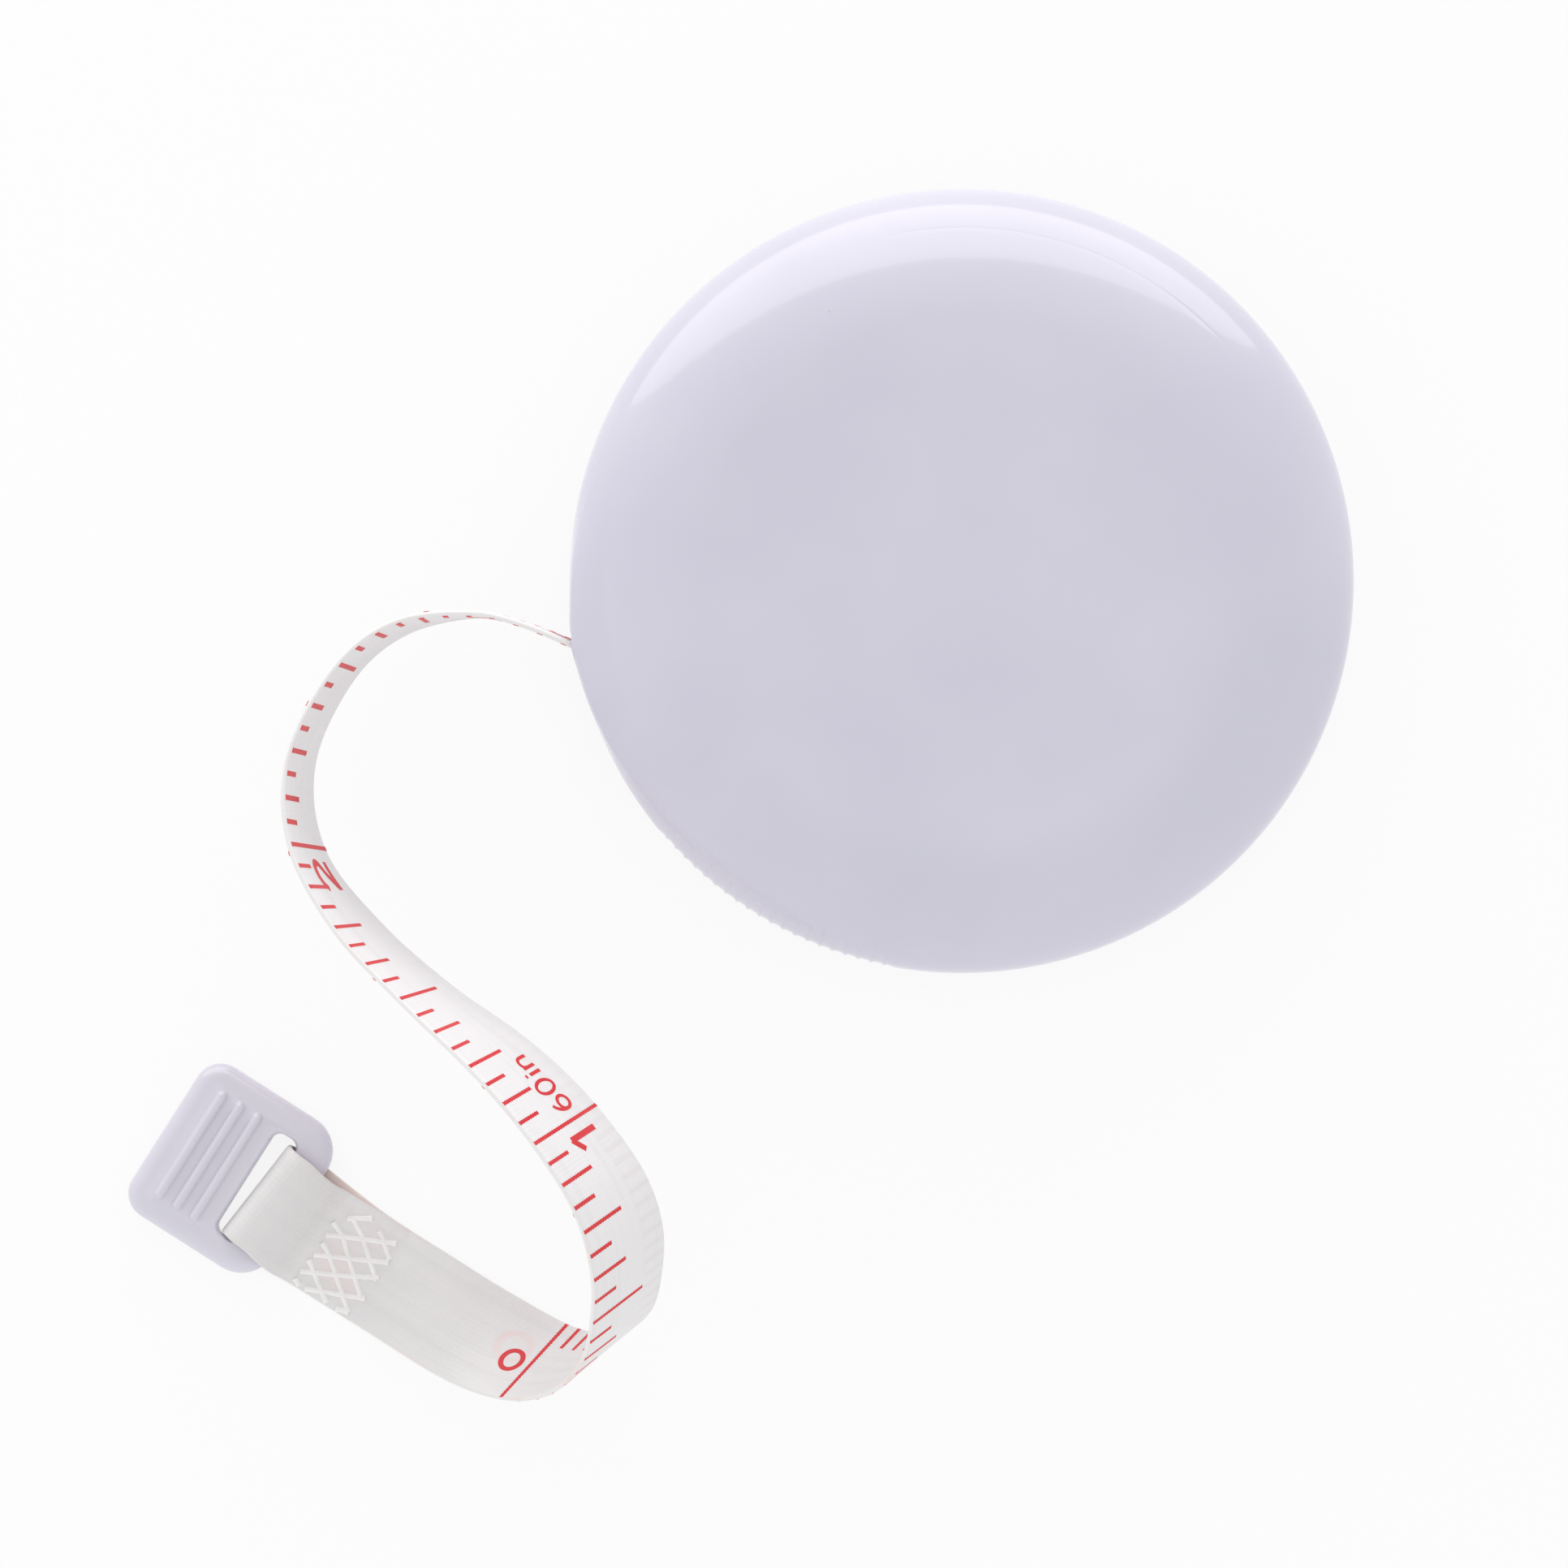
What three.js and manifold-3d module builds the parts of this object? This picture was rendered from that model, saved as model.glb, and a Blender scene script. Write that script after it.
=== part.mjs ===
// Retractable cloth tape measure in a round plastic case, with the tape drawn out a little and a pull tab on
// its end. Millimetres, +Z up. The origin lies on the case's axis at the level that the case stands on.
// The case lies on its button face. Its plain face looks up.
import * as THREE from "three";
import { mergeVertices } from "three/addons/utils/BufferGeometryUtils.js";
import Module from "manifold-3d";

const wasm = await Module();
wasm.setup();

// Fits
const gap = 0.3; // between neighbouring pieces
const overrun = 1; // how far a cutter runs past the face it cuts

// Tape
const tapeWidth = 7.3;
const tapeThickness = 0.3;
const tapeWoundLength = 1420;
const tapeSideGap = 0.4;
const tapeStepsPerRow = 2;
const uprightDip = 90; // degrees, the dip of a tape that stands on edge

// Reel
const hubRadius = 9;
const hubWall = 1.1;
const flangeThickness = 0.65;
const flangeMargin = 1.5;
const lipWidth = 2;
const lipThickness = 0.6;
const ledgeWidth = 0.6;
const ledgeThickness = 0.4;
const spigotWall = 0.7;
const spigotDepth = 0.35;
const pinRadius = 0.35;
const pinInset = 0.05;

// Case
const caseDiameter = 51.5;
const shellWall = 1.2;
const rimWidth = 9; // of the oval edge between the flat face and the side
const rimHeight = 5;
const dishDepth = 0.5;
const dishWall = 1;
const dishRadius = 12.5;
const dishSlope = 0.5;
const headRoom = 0.6;
const seamGap = gap;
const tongueDepth = 1;
const tongueWall = 0.45;
const bossWall = 1.6;
const bossDepth = 1.6;

// Mouth
const exitHeading = 154; // degrees, the way the tape leaves
const mouthWidth = 1.8;
const lipRise = 0.25;
const lipDepth = 3.2;
const lipBorder = 0.5;
const lipAheadAngle = 8;
const lipBehindAngle = 11;

// Button and brake
const buttonCap = 1;
const buttonSink = 0.2;
const buttonEdge = 0.3;
const buttonTravel = 0.8;
const buttonHoleGap = 0.4;
const neckGap = 0.4;
const neckHeadWidth = 1.3;
const neckHeadThickness = 0.4;
const brakeThickness = 0.6;
const buttonSpringGap = 1.1; // from the bore to the middle of the wire
const buttonSpringWire = 0.35;
const buttonSpringTurns = 4;

// Arbor and mainspring
const arborShare = 0.33; // of the hub's bore
const arborGap = 0.8; // inside the neck's bore
const mainspringThickness = 0.25;
const mainspringTurns = 6;
const mainspringTongueGap = 0.8; // from the tongue's tip to the arbor's far side
const plateThickness = 0.4;

// End tab
const tabLength = 10.35;
const tabWidth = 11.6;
const tabThickness = 1.8;
const tabCornerRadius = 1.8;
const tabShoulderRadius = 2.5;
const tabHeading = -32.5; // degrees, from the free end towards the bar
const tabCentre = [-48.5, -39.05];
const slotStart = 6.2;
const slotWidth = 1.9;
const slotLength = 8.1;
const slotCornerRadius = 0.5;
const barThickness = 1;
const gripRibLength = 8;
const gripRibWidth = 0.56;
const gripRibHeight = 0.25;
const gripRibPitch = 1.38;
const gripRibStart = 2.05;

// Facets
const roundSteps = 60;
const innerRoundSteps = 40;
const smallRoundSteps = 16;
const edgeSteps = 6;
const mainspringSteps = 16;
const wireSides = 6;
const wireSteps = 10;

// Levels, from the button face up
const floorTop = dishDepth + dishWall;
const lowerFlangeBottom = floorTop + gap;
const lowerFlangeTop = lowerFlangeBottom + flangeThickness;
const tapeBottom = lowerFlangeTop + tapeSideGap;
const tapeTop = tapeBottom + tapeWidth;
const upperFlangeBottom = tapeTop + tapeSideGap;
const upperFlangeTop = upperFlangeBottom + flangeThickness;
const ceiling = upperFlangeTop + headRoom;
const caseThickness = ceiling + shellWall;
const seamLevel = caseThickness / 2;
const tapeMiddle = (tapeBottom + tapeTop) / 2;

const buttonTop = buttonSink + buttonCap;
const lipBottom = buttonTop + buttonTravel + gap;
const lipTop = lipBottom + lipThickness;
const brakeBottom = lipTop + gap;
const brakeTop = brakeBottom + brakeThickness;
const neckHeadBottom = brakeTop + gap;
const neckHeadTop = neckHeadBottom + neckHeadThickness;
const ledgeBottom = brakeTop + buttonTravel + gap;
const ledgeTop = ledgeBottom + ledgeThickness;
const plateBottom = ledgeTop + gap;
const plateTop = plateBottom + plateThickness;
const mainspringBottom = plateTop + gap;
const spigotBottom = upperFlangeBottom - gap - spigotDepth;
const mainspringTop = spigotBottom - gap;
const arborBottom = neckHeadTop + buttonTravel - gap;
const arborTop = ceiling - gap;
const bossBottom = ceiling - bossDepth;
const hubTop = upperFlangeBottom - gap;

// Radii
const caseRadius = caseDiameter / 2;
const wallRadius = caseRadius - shellWall;
const faceRadius = caseRadius - rimWidth;
const hubInnerRadius = hubRadius - hubWall;
const innerFit = hubInnerRadius - gap;
const buttonRadius = hubInnerRadius - buttonHoleGap;
const lipInnerRadius = hubInnerRadius - lipWidth;
const neckRadius = lipInnerRadius - neckGap;
const neckHeadRadius = neckRadius + neckHeadWidth;
const arborRadius = arborShare * hubInnerRadius;
const neckBoreRadius = arborRadius + arborGap;
const buttonSpringRadius = neckBoreRadius - buttonSpringGap;
const mainspringTongue = arborRadius - mainspringTongueGap;
const bossRadius = arborRadius + gap + bossWall;
const coilInnerRadius = hubRadius + gap;
const coilRadius = Math.sqrt(coilInnerRadius ** 2 + (tapeWoundLength * tapeThickness) / Math.PI);
const exitOffset = coilRadius + gap + tapeThickness / 2;
const flangeRadius = exitOffset + tapeThickness / 2 + flangeMargin;
const flangeBore = bossRadius + gap;
const tongueRadius = wallRadius + tongueWall;
const buttonHole = buttonRadius + buttonHoleGap;
const pinCentre = hubRadius - pinInset;

const palePlastic = new THREE.MeshStandardMaterial({ color: 0xd0cddc, roughness: 0.3 });
const reelPlastic = new THREE.MeshStandardMaterial({ color: 0xe6e6e4, roughness: 0.5 });
const springSteel = new THREE.MeshStandardMaterial({ color: 0x7d8288, roughness: 0.35, metalness: 1 });
const brakeRubber = new THREE.MeshStandardMaterial({ color: 0x2b2b2d, roughness: 0.8 });
const tapeCloth = new THREE.MeshStandardMaterial({ color: 0xe9e7e6, roughness: 0.55 });

const radians = THREE.MathUtils.degToRad;

// A closed geometry with shared corners and no empty triangles.
function welded(geometry) {
  geometry.deleteAttribute("normal");
  geometry.deleteAttribute("uv");
  const merged = mergeVertices(geometry);
  const corners = merged.index.array;
  const kept = [];
  for (let i = 0; i < corners.length; i += 3) {
    const [a, b, c] = corners.slice(i, i + 3);
    if (a !== b && b !== c && c !== a) kept.push(a, b, c);
  }
  merged.setIndex(kept);
  return merged;
}

function solidFrom(geometry) {
  const closed = welded(geometry);
  const vertProperties = new Float32Array(closed.attributes.position.array);
  const triVerts = new Uint32Array(closed.index.array);
  return new wasm.Manifold(new wasm.Mesh({ numProp: 3, vertProperties, triVerts }));
}

function geometryFrom(solid) {
  const mesh = solid.getMesh();
  const geometry = new THREE.BufferGeometry();
  geometry.setAttribute("position", new THREE.BufferAttribute(mesh.vertProperties, 3));
  geometry.setIndex(new THREE.BufferAttribute(mesh.triVerts, 1));
  geometry.computeVertexNormals();
  return geometry;
}

// The base joined with the added pieces and then cut by the cutters.
function shaped(base, added, cutters) {
  let solid = solidFrom(base);
  for (const piece of added) solid = solid.add(solidFrom(piece));
  for (const cutter of cutters) solid = solid.subtract(solidFrom(cutter));
  return geometryFrom(solid);
}

// Points of an oval edge in the radius and height plane.
function ovalEdge(centreRadius, centreHeight, width, height, fromAngle, toAngle) {
  const points = [];
  for (let i = 0; i <= edgeSteps; i++) {
    const angle = radians(fromAngle + ((toAngle - fromAngle) * i) / edgeSteps);
    points.push([centreRadius + width * Math.cos(angle), centreHeight + height * Math.sin(angle)]);
  }
  return points;
}

// A profile of [radius, height] points, with the solid on its left hand, turned about Z.
function turned(profile, steps = innerRoundSteps) {
  const points = profile.map(([radius, height]) => new THREE.Vector2(radius, height));
  return new THREE.LatheGeometry(points, steps).rotateX(Math.PI / 2);
}

function ring(innerRadius, outerRadius, bottom, top, steps = innerRoundSteps) {
  return turned([
    [innerRadius, bottom],
    [outerRadius, bottom],
    [outerRadius, top],
    [innerRadius, top],
    [innerRadius, bottom],
  ], steps);
}

function post(radius, bottom, top, steps = smallRoundSteps) {
  return turned([[0, bottom], [radius, bottom], [radius, top], [0, top]], steps);
}

function extruded(shape, bottom, top) {
  const settings = { depth: top - bottom, bevelEnabled: false, curveSegments: edgeSteps };
  return new THREE.ExtrudeGeometry(shape, settings).translate(0, 0, bottom);
}

// A rectangle with its own radius at the low x corners and at the high x corners.
function roundedPlate(lowX, highX, lowY, highY, lowRadius, highRadius) {
  const shape = new THREE.Shape();
  const quarter = Math.PI / 2;
  shape.absarc(highX - highRadius, lowY + highRadius, highRadius, -quarter, 0);
  shape.absarc(highX - highRadius, highY - highRadius, highRadius, 0, quarter);
  shape.absarc(lowX + lowRadius, highY - lowRadius, lowRadius, quarter, Math.PI);
  shape.absarc(lowX + lowRadius, lowY + lowRadius, lowRadius, Math.PI, Math.PI + quarter);
  shape.closePath();
  return shape;
}

function named(name, geometry, material) {
  const mesh = new THREE.Mesh(geometry, material);
  mesh.name = name;
  return mesh;
}

// The line that the tape leaves along: it starts where the tape lifts off the coil.
const exitDirection = new THREE.Vector2(Math.cos(radians(exitHeading)), Math.sin(radians(exitHeading)));
const liftOff = exitDirection.clone().rotateAround(new THREE.Vector2(), Math.PI / 2).multiplyScalar(exitOffset);
const alongExit = (radius) => Math.sqrt(radius ** 2 - exitOffset ** 2);
const exitPoint = (distance) => liftOff.clone().addScaledVector(exitDirection, distance);

// Mouth: a slot along the tape's line, in a small square lip
const mouthPoint = exitPoint(alongExit(caseRadius + lipRise));
const mouthInside = alongExit(caseRadius - lipDepth);
const mouthBottom = tapeBottom - gap;
const mouthTop = tapeTop + gap;

function mouthSlot() {
  const start = mouthInside - overrun;
  const end = alongExit(caseRadius + lipRise) + overrun;
  const centre = exitPoint((start + end) / 2);
  return new THREE.BoxGeometry(end - start, mouthWidth, mouthTop - mouthBottom)
    .rotateZ(radians(exitHeading))
    .translate(centre.x, centre.y, tapeMiddle);
}

function mouthLip(bottom, top, clearance = 0) {
  const mouthAngle = THREE.MathUtils.radToDeg(mouthPoint.angle());
  const clearAngle = THREE.MathUtils.radToDeg(clearance / caseRadius);
  const before = mouthAngle - lipAheadAngle - clearAngle;
  const after = mouthAngle + lipBehindAngle + clearAngle;
  const at = (radius, angle) => {
    return new THREE.Vector2(radius * Math.cos(radians(angle)), radius * Math.sin(radians(angle)));
  };
  const innerRadius = caseRadius - lipDepth - clearance;
  const outline = new THREE.Shape([
    at(innerRadius, before),
    at(innerRadius, mouthAngle),
    at(innerRadius, after),
    at(caseRadius, after),
    mouthPoint,
    at(caseRadius, before),
  ].reverse());
  return extruded(outline, bottom, top);
}

function makeCaseBack() {
  const bottom = seamLevel + seamGap / 2;
  const ovalCentre = caseThickness - rimHeight;
  const profile = [
    [0, ceiling],
    [arborRadius + gap, ceiling],
    [arborRadius + gap, bossBottom],
    [bossRadius, bossBottom],
    [bossRadius, ceiling],
    ...ovalEdge(faceRadius, ovalCentre, rimWidth - shellWall, rimHeight - shellWall, 90, 0),
    [wallRadius, bottom - tongueDepth],
    [tongueRadius, bottom - tongueDepth],
    [tongueRadius, bottom],
    [caseRadius, bottom],
    ...ovalEdge(faceRadius, ovalCentre, rimWidth, rimHeight, 0, 90),
    [0, caseThickness],
  ];
  // The tongue stops short of the other half's lip
  const tongueStop = mouthLip(bottom - tongueDepth - overrun, bottom, gap);
  const lip = mouthLip(bottom, mouthTop + lipBorder);
  return shaped(turned(profile, roundSteps), [lip], [mouthSlot(), tongueStop]);
}

function makeCaseFront() {
  const top = seamLevel - seamGap / 2;
  const rebateBottom = seamLevel + seamGap / 2 - tongueDepth - gap;
  const profile = [
    [buttonHole, dishDepth],
    [dishRadius, dishDepth],
    [dishRadius + dishSlope, 0],
    ...ovalEdge(faceRadius, rimHeight, rimWidth, rimHeight, -90, 0),
    [caseRadius, top],
    [tongueRadius + gap, top],
    [tongueRadius + gap, rebateBottom],
    [wallRadius, rebateBottom],
    ...ovalEdge(faceRadius, rimHeight, rimWidth - shellWall, rimHeight - shellWall, 0, -90),
    [dishRadius + dishSlope + shellWall, shellWall],
    [dishRadius + shellWall, floorTop],
    [buttonHole, floorTop],
    [buttonHole, dishDepth],
  ];
  return shaped(turned(profile, roundSteps), [mouthLip(mouthBottom - lipBorder, top)], [mouthSlot()]);
}

function makeArbor() {
  const slotWide = mainspringThickness + 2 * gap;
  const slotHigh = mainspringTop + gap - arborBottom + overrun;
  const slot = new THREE.BoxGeometry(2 * arborRadius + 2 * overrun, slotWide, slotHigh)
    .translate(0, 0, mainspringTop + gap - slotHigh / 2);
  return shaped(post(arborRadius, arborBottom, arborTop, innerRoundSteps), [], [slot]);
}

function makeReelDrum() {
  const profile = [
    [lipInnerRadius, lipBottom],
    [hubInnerRadius, lipBottom],
    [hubInnerRadius, lowerFlangeBottom],
    [flangeRadius, lowerFlangeBottom],
    [flangeRadius, lowerFlangeTop],
    [hubRadius, lowerFlangeTop],
    [hubRadius, hubTop],
    [hubInnerRadius, hubTop],
    [hubInnerRadius, ledgeTop],
    [hubInnerRadius - ledgeWidth, ledgeTop],
    [hubInnerRadius - ledgeWidth, ledgeBottom],
    [hubInnerRadius, ledgeBottom],
    [hubInnerRadius, lipTop],
    [lipInnerRadius, lipTop],
    [lipInnerRadius, lipBottom],
  ];
  const groove = post(pinRadius + gap, tapeBottom - gap, hubTop + overrun).translate(pinCentre, 0, 0);
  return shaped(turned(profile), [], [groove]);
}

function makeReelFlange() {
  return turned([
    [innerFit - spigotWall, spigotBottom],
    [innerFit, spigotBottom],
    [innerFit, upperFlangeBottom],
    [flangeRadius, upperFlangeBottom],
    [flangeRadius, upperFlangeTop],
    [flangeBore, upperFlangeTop],
    [flangeBore, upperFlangeBottom],
    [innerFit - spigotWall, upperFlangeBottom],
    [innerFit - spigotWall, spigotBottom],
  ]);
}

// The spiral starts with a straight tongue in the arbor's slot and ends close to the hub's wall.
function makeMainspring() {
  const startRadius = arborRadius + gap + mainspringThickness / 2;
  const endRadius = innerFit - mainspringThickness / 2;
  const turn = 2 * Math.PI;
  const count = mainspringTurns * mainspringSteps;
  const half = mainspringThickness / 2;
  const outer = [new THREE.Vector2(-mainspringTongue, half), new THREE.Vector2(startRadius + half, half)];
  const inner = [new THREE.Vector2(-mainspringTongue, -half), new THREE.Vector2(startRadius - half, -half)];
  for (let i = 1; i <= count; i++) {
    const angle = -(turn * i) / mainspringSteps;
    const radius = startRadius + ((endRadius - startRadius) * i) / count;
    outer.push(new THREE.Vector2(Math.cos(angle), Math.sin(angle)).multiplyScalar(radius + half));
    inner.push(new THREE.Vector2(Math.cos(angle), Math.sin(angle)).multiplyScalar(radius - half));
  }
  return extruded(new THREE.Shape([...outer, ...inner.reverse()]), mainspringBottom, mainspringTop);
}

// The outline of the coil steps in by one thickness where the outer turn lifts off.
function makeTapeCoil() {
  const outline = [];
  const start = liftOff.angle();
  for (let i = 0; i <= roundSteps; i++) {
    const turn = (2 * Math.PI * i) / roundSteps;
    const radius = coilRadius - tapeThickness * (i / roundSteps);
    outline.push(new THREE.Vector2(Math.cos(start + turn), Math.sin(start + turn)).multiplyScalar(radius));
  }
  const shape = new THREE.Shape(outline);
  const core = [];
  for (let i = 0; i < innerRoundSteps; i++) {
    const turn = (2 * Math.PI * i) / innerRoundSteps;
    core.push(new THREE.Vector2(Math.cos(turn), Math.sin(turn)).multiplyScalar(coilInnerRadius));
  }
  shape.holes.push(new THREE.Path(core));
  return extruded(shape, tapeBottom, tapeTop);
}

function makePushButton() {
  return turned([
    [0, buttonSink],
    ...ovalEdge(buttonRadius - buttonEdge, buttonSink + buttonEdge, buttonEdge, buttonEdge, -90, 0),
    [buttonRadius, buttonTop],
    [neckRadius, buttonTop],
    [neckRadius, neckHeadBottom],
    [neckHeadRadius, neckHeadBottom],
    [neckHeadRadius, neckHeadTop],
    [neckBoreRadius, neckHeadTop],
    [neckBoreRadius, buttonTop],
    [0, buttonTop],
  ]);
}

class SpringWire extends THREE.Curve {
  constructor(radius, bottom, top, turns) {
    super();
    Object.assign(this, { radius, bottom, top, turns });
  }

  getPoint(share) {
    const angle = 2 * Math.PI * this.turns * share;
    const height = this.bottom + (this.top - this.bottom) * share;
    return new THREE.Vector3(this.radius * Math.cos(angle), this.radius * Math.sin(angle), height);
  }
}

function makeButtonSpring() {
  const bottom = buttonTop + gap + buttonSpringWire;
  const top = arborBottom - gap - buttonSpringWire;
  const wire = new SpringWire(buttonSpringRadius, bottom, top, buttonSpringTurns);
  const section = [];
  for (let i = 0; i < wireSides; i++) {
    const turn = (2 * Math.PI * i) / wireSides;
    section.push(new THREE.Vector2(Math.cos(turn), Math.sin(turn)).multiplyScalar(buttonSpringWire / 2));
  }
  const steps = buttonSpringTurns * wireSteps;
  return new THREE.ExtrudeGeometry(new THREE.Shape(section), { steps, extrudePath: wire });
}

// End tab in its own frame: x from the middle towards the bar, y across, z up from the table.
const tabEnd = tabLength / 2;
const slotLow = slotStart - tabEnd;
const slotHigh = slotLow + slotWidth;

function gripRib(index) {
  const middle = gripRibStart + gripRibWidth / 2 + index * gripRibPitch - tabEnd;
  const half = gripRibWidth / 2;
  const reach = gripRibLength / 2;
  const shape = roundedPlate(middle - half, middle + half, -reach, reach, half, half);
  return extruded(shape, tabThickness / 2, tabThickness + gripRibHeight);
}

function makeEndTab() {
  const side = tabWidth / 2;
  const plate = roundedPlate(-tabEnd, tabEnd, -side, side, tabCornerRadius, tabShoulderRadius);
  const slot = roundedPlate(
    slotLow, slotHigh, -slotLength / 2, slotLength / 2, slotCornerRadius, slotCornerRadius,
  );
  const barLength = tabEnd - slotHigh;
  const underBar = new THREE.BoxGeometry(
    barLength + slotCornerRadius + overrun, slotLength, tabThickness - barThickness + overrun,
  ).translate(
    slotHigh + (barLength + overrun - slotCornerRadius) / 2, 0, (tabThickness - barThickness - overrun) / 2,
  );
  const ribs = [0, 1, 2].map(gripRib);
  const cutters = [extruded(slot, -overrun, tabThickness + overrun), underBar];
  return shaped(extruded(plate, 0, tabThickness), ribs, cutters);
}

// The tape outside the case, from its welded end, round the tab's bar, along the table, through the bend
// where it turns over, and round the arc to the mouth. Each row gives the middle of the tape, the bearing
// of the line across it from the inch edge to the other edge, and how far that line dips, in degrees.
const tapeRoute = [
  [-38.7, -45.9, 0.75, 57, 0],
  [-41.3, -44.5, 0.65, 56, 0],
  [-42.9, -43.5, 0.9, 54, 0],
  [-43.8, -42.9, 1.8, 53, 0],
  [-44.6, -42.2, 2.3, 52, 0],
  [-45.3, -41.5, 2.45, 52, 0],
  [-46.1, -40.9, 2.4, 52, 0],
  [-46.6, -40.5, 2, 52, 0],
  [-46.8, -40.3, 1.3, 52, 0],
  [-46.6, -40.4, 0.55, 52, 0],
  [-45.9, -40.8, 0.21, 53, 0],
  [-44.9, -41.4, 0.2, 54, 0],
  [-43.6, -42.5, 0.2, 56, 0],
  [-40.1, -45.2, 0.2, 58, 0],
  [-36.2, -47.7, 0.45, 57, 3],
  [-32.2, -50.1, 1, 53, 12],
  [-28.5, -51.7, 2.1, 47, 28],
  [-25.9, -51.9, 3.6, 42, 37],
  [-24, -51, 5.5, 38, 43],
  [-22.7, -49.3, 7.7, 35, 46],
  [-22.1, -46.8, 9.6, 35, 47],
  [-22, -44, 11.1, 34, 48],
  [-22.7, -41, 12, 33, 49],
  [-24.1, -38.1, 12.4, 32, 51],
  [-27, -34.3, 12.1, 30, 53],
  [-30.4, -30.9, 11.3, 26, 58],
  [-35.2, -27, 9.7, 15, 65],
  [-39.7, -22.7, 8.2, 3, 68],
  [-42.6, -17.5, 7.1, -9, 72],
  [-43.3, -11.7, 6.6, -25, 79],
  [-40.7, -6, 6.5, -50, 85],
  [-37, -3, 6.5, -75, 88],
  [-32.2, -2.2, 6.5, -98, 92],
  [-29, -2.9, 6.5, -110, 93],
];

// The straight tail, from just outside the mouth back to the coil, in shares of its length
const tailShares = [1, 0.85, 0.5, 0.15, 0];

function makeTapeFree() {
  const middles = tapeRoute.map(([x, y, z]) => new THREE.Vector3(x, y, z));
  const leans = tapeRoute.map(([, , , bearing, dip]) => new THREE.Vector3(bearing, dip, 0));
  const tailLength = alongExit(caseRadius + lipRise);
  for (const share of tailShares) {
    const point = exitPoint(share * tailLength);
    middles.push(new THREE.Vector3(point.x, point.y, tapeMiddle));
    leans.push(new THREE.Vector3(exitHeading - 3 * uprightDip, uprightDip, 0));
  }
  const middleCurve = new THREE.CatmullRomCurve3(middles, false, "catmullrom");
  const leanCurve = new THREE.CatmullRomCurve3(leans, false, "catmullrom");
  const count = (middles.length - 1) * tapeStepsPerRow;
  const corners = [];
  for (let i = 0; i <= count; i++) {
    const middle = middleCurve.getPoint(i / count);
    const lean = leanCurve.getPoint(i / count);
    const flat = Math.cos(radians(lean.y));
    const across = new THREE.Vector3(
      flat * Math.cos(radians(lean.x)), flat * Math.sin(radians(lean.x)), -Math.sin(radians(lean.y)),
    );
    const facing = middleCurve.getTangent(i / count).cross(across).normalize();
    for (const [side, face] of [[-1, -1], [1, -1], [1, 1], [-1, 1]]) {
      corners.push(
        middle.clone()
          .addScaledVector(across, (side * tapeWidth) / 2)
          .addScaledVector(facing, (face * tapeThickness) / 2),
      );
    }
  }
  return stripGeometry(corners);
}

// A closed strip from rings of four corners each.
function stripGeometry(corners) {
  const faces = [0, 3, 2, 0, 2, 1];
  const last = corners.length - 4;
  for (let start = 0; start < last; start += 4) {
    for (let side = 0; side < 4; side++) {
      const a = start + side;
      const b = start + ((side + 1) % 4);
      faces.push(a, b, b + 4, a, b + 4, a + 4);
    }
  }
  faces.push(last, last + 1, last + 2, last, last + 2, last + 3);
  const geometry = new THREE.BufferGeometry().setFromPoints(corners);
  geometry.setIndex(faces);
  geometry.computeVertexNormals();
  return geometry;
}

const caseGroup = new THREE.Group();
caseGroup.name = "case";
caseGroup.add(
  named("case_back", makeCaseBack(), palePlastic),
  named("case_front", makeCaseFront(), palePlastic),
  named("spring_arbor", makeArbor(), reelPlastic),
);

const reelGroup = new THREE.Group();
reelGroup.name = "reel";
reelGroup.add(
  named("reel_drum", makeReelDrum(), reelPlastic),
  named("reel_flange", makeReelFlange(), reelPlastic),
  named("spring_plate", ring(arborRadius + gap, innerFit, plateBottom, plateTop), springSteel),
  named("mainspring", makeMainspring(), springSteel),
  named("tape_coil", makeTapeCoil(), tapeCloth),
);
const tapePin = named("tape_pin", post(pinRadius, tapeBottom, tapeTop), springSteel);
tapePin.position.x = pinCentre;
reelGroup.add(tapePin);

const buttonGroup = new THREE.Group();
buttonGroup.name = "button";
buttonGroup.add(
  named("push_button", makePushButton(), palePlastic),
  named("brake_ring", ring(neckRadius + gap, innerFit, brakeBottom, brakeTop), brakeRubber),
  named("button_spring", makeButtonSpring(), springSteel),
);

const endTab = named("end_tab", makeEndTab(), palePlastic);
endTab.position.set(tabCentre[0], tabCentre[1], 0);
endTab.rotation.z = radians(tabHeading);

const tapeMeasure = new THREE.Group();
tapeMeasure.name = "tape_measure";
tapeMeasure.add(caseGroup, reelGroup, buttonGroup, named("tape_free", makeTapeFree(), tapeCloth), endTab);

export default tapeMeasure;
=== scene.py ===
# Retractable cloth tape measure in a pale round case, dressed over its fixed frame.
# The dictionaries hold millimetres and degrees, apart from those of the floor and the lights, which hold the
# metres that Blender gets.
import math
from bisect import bisect_right

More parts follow.
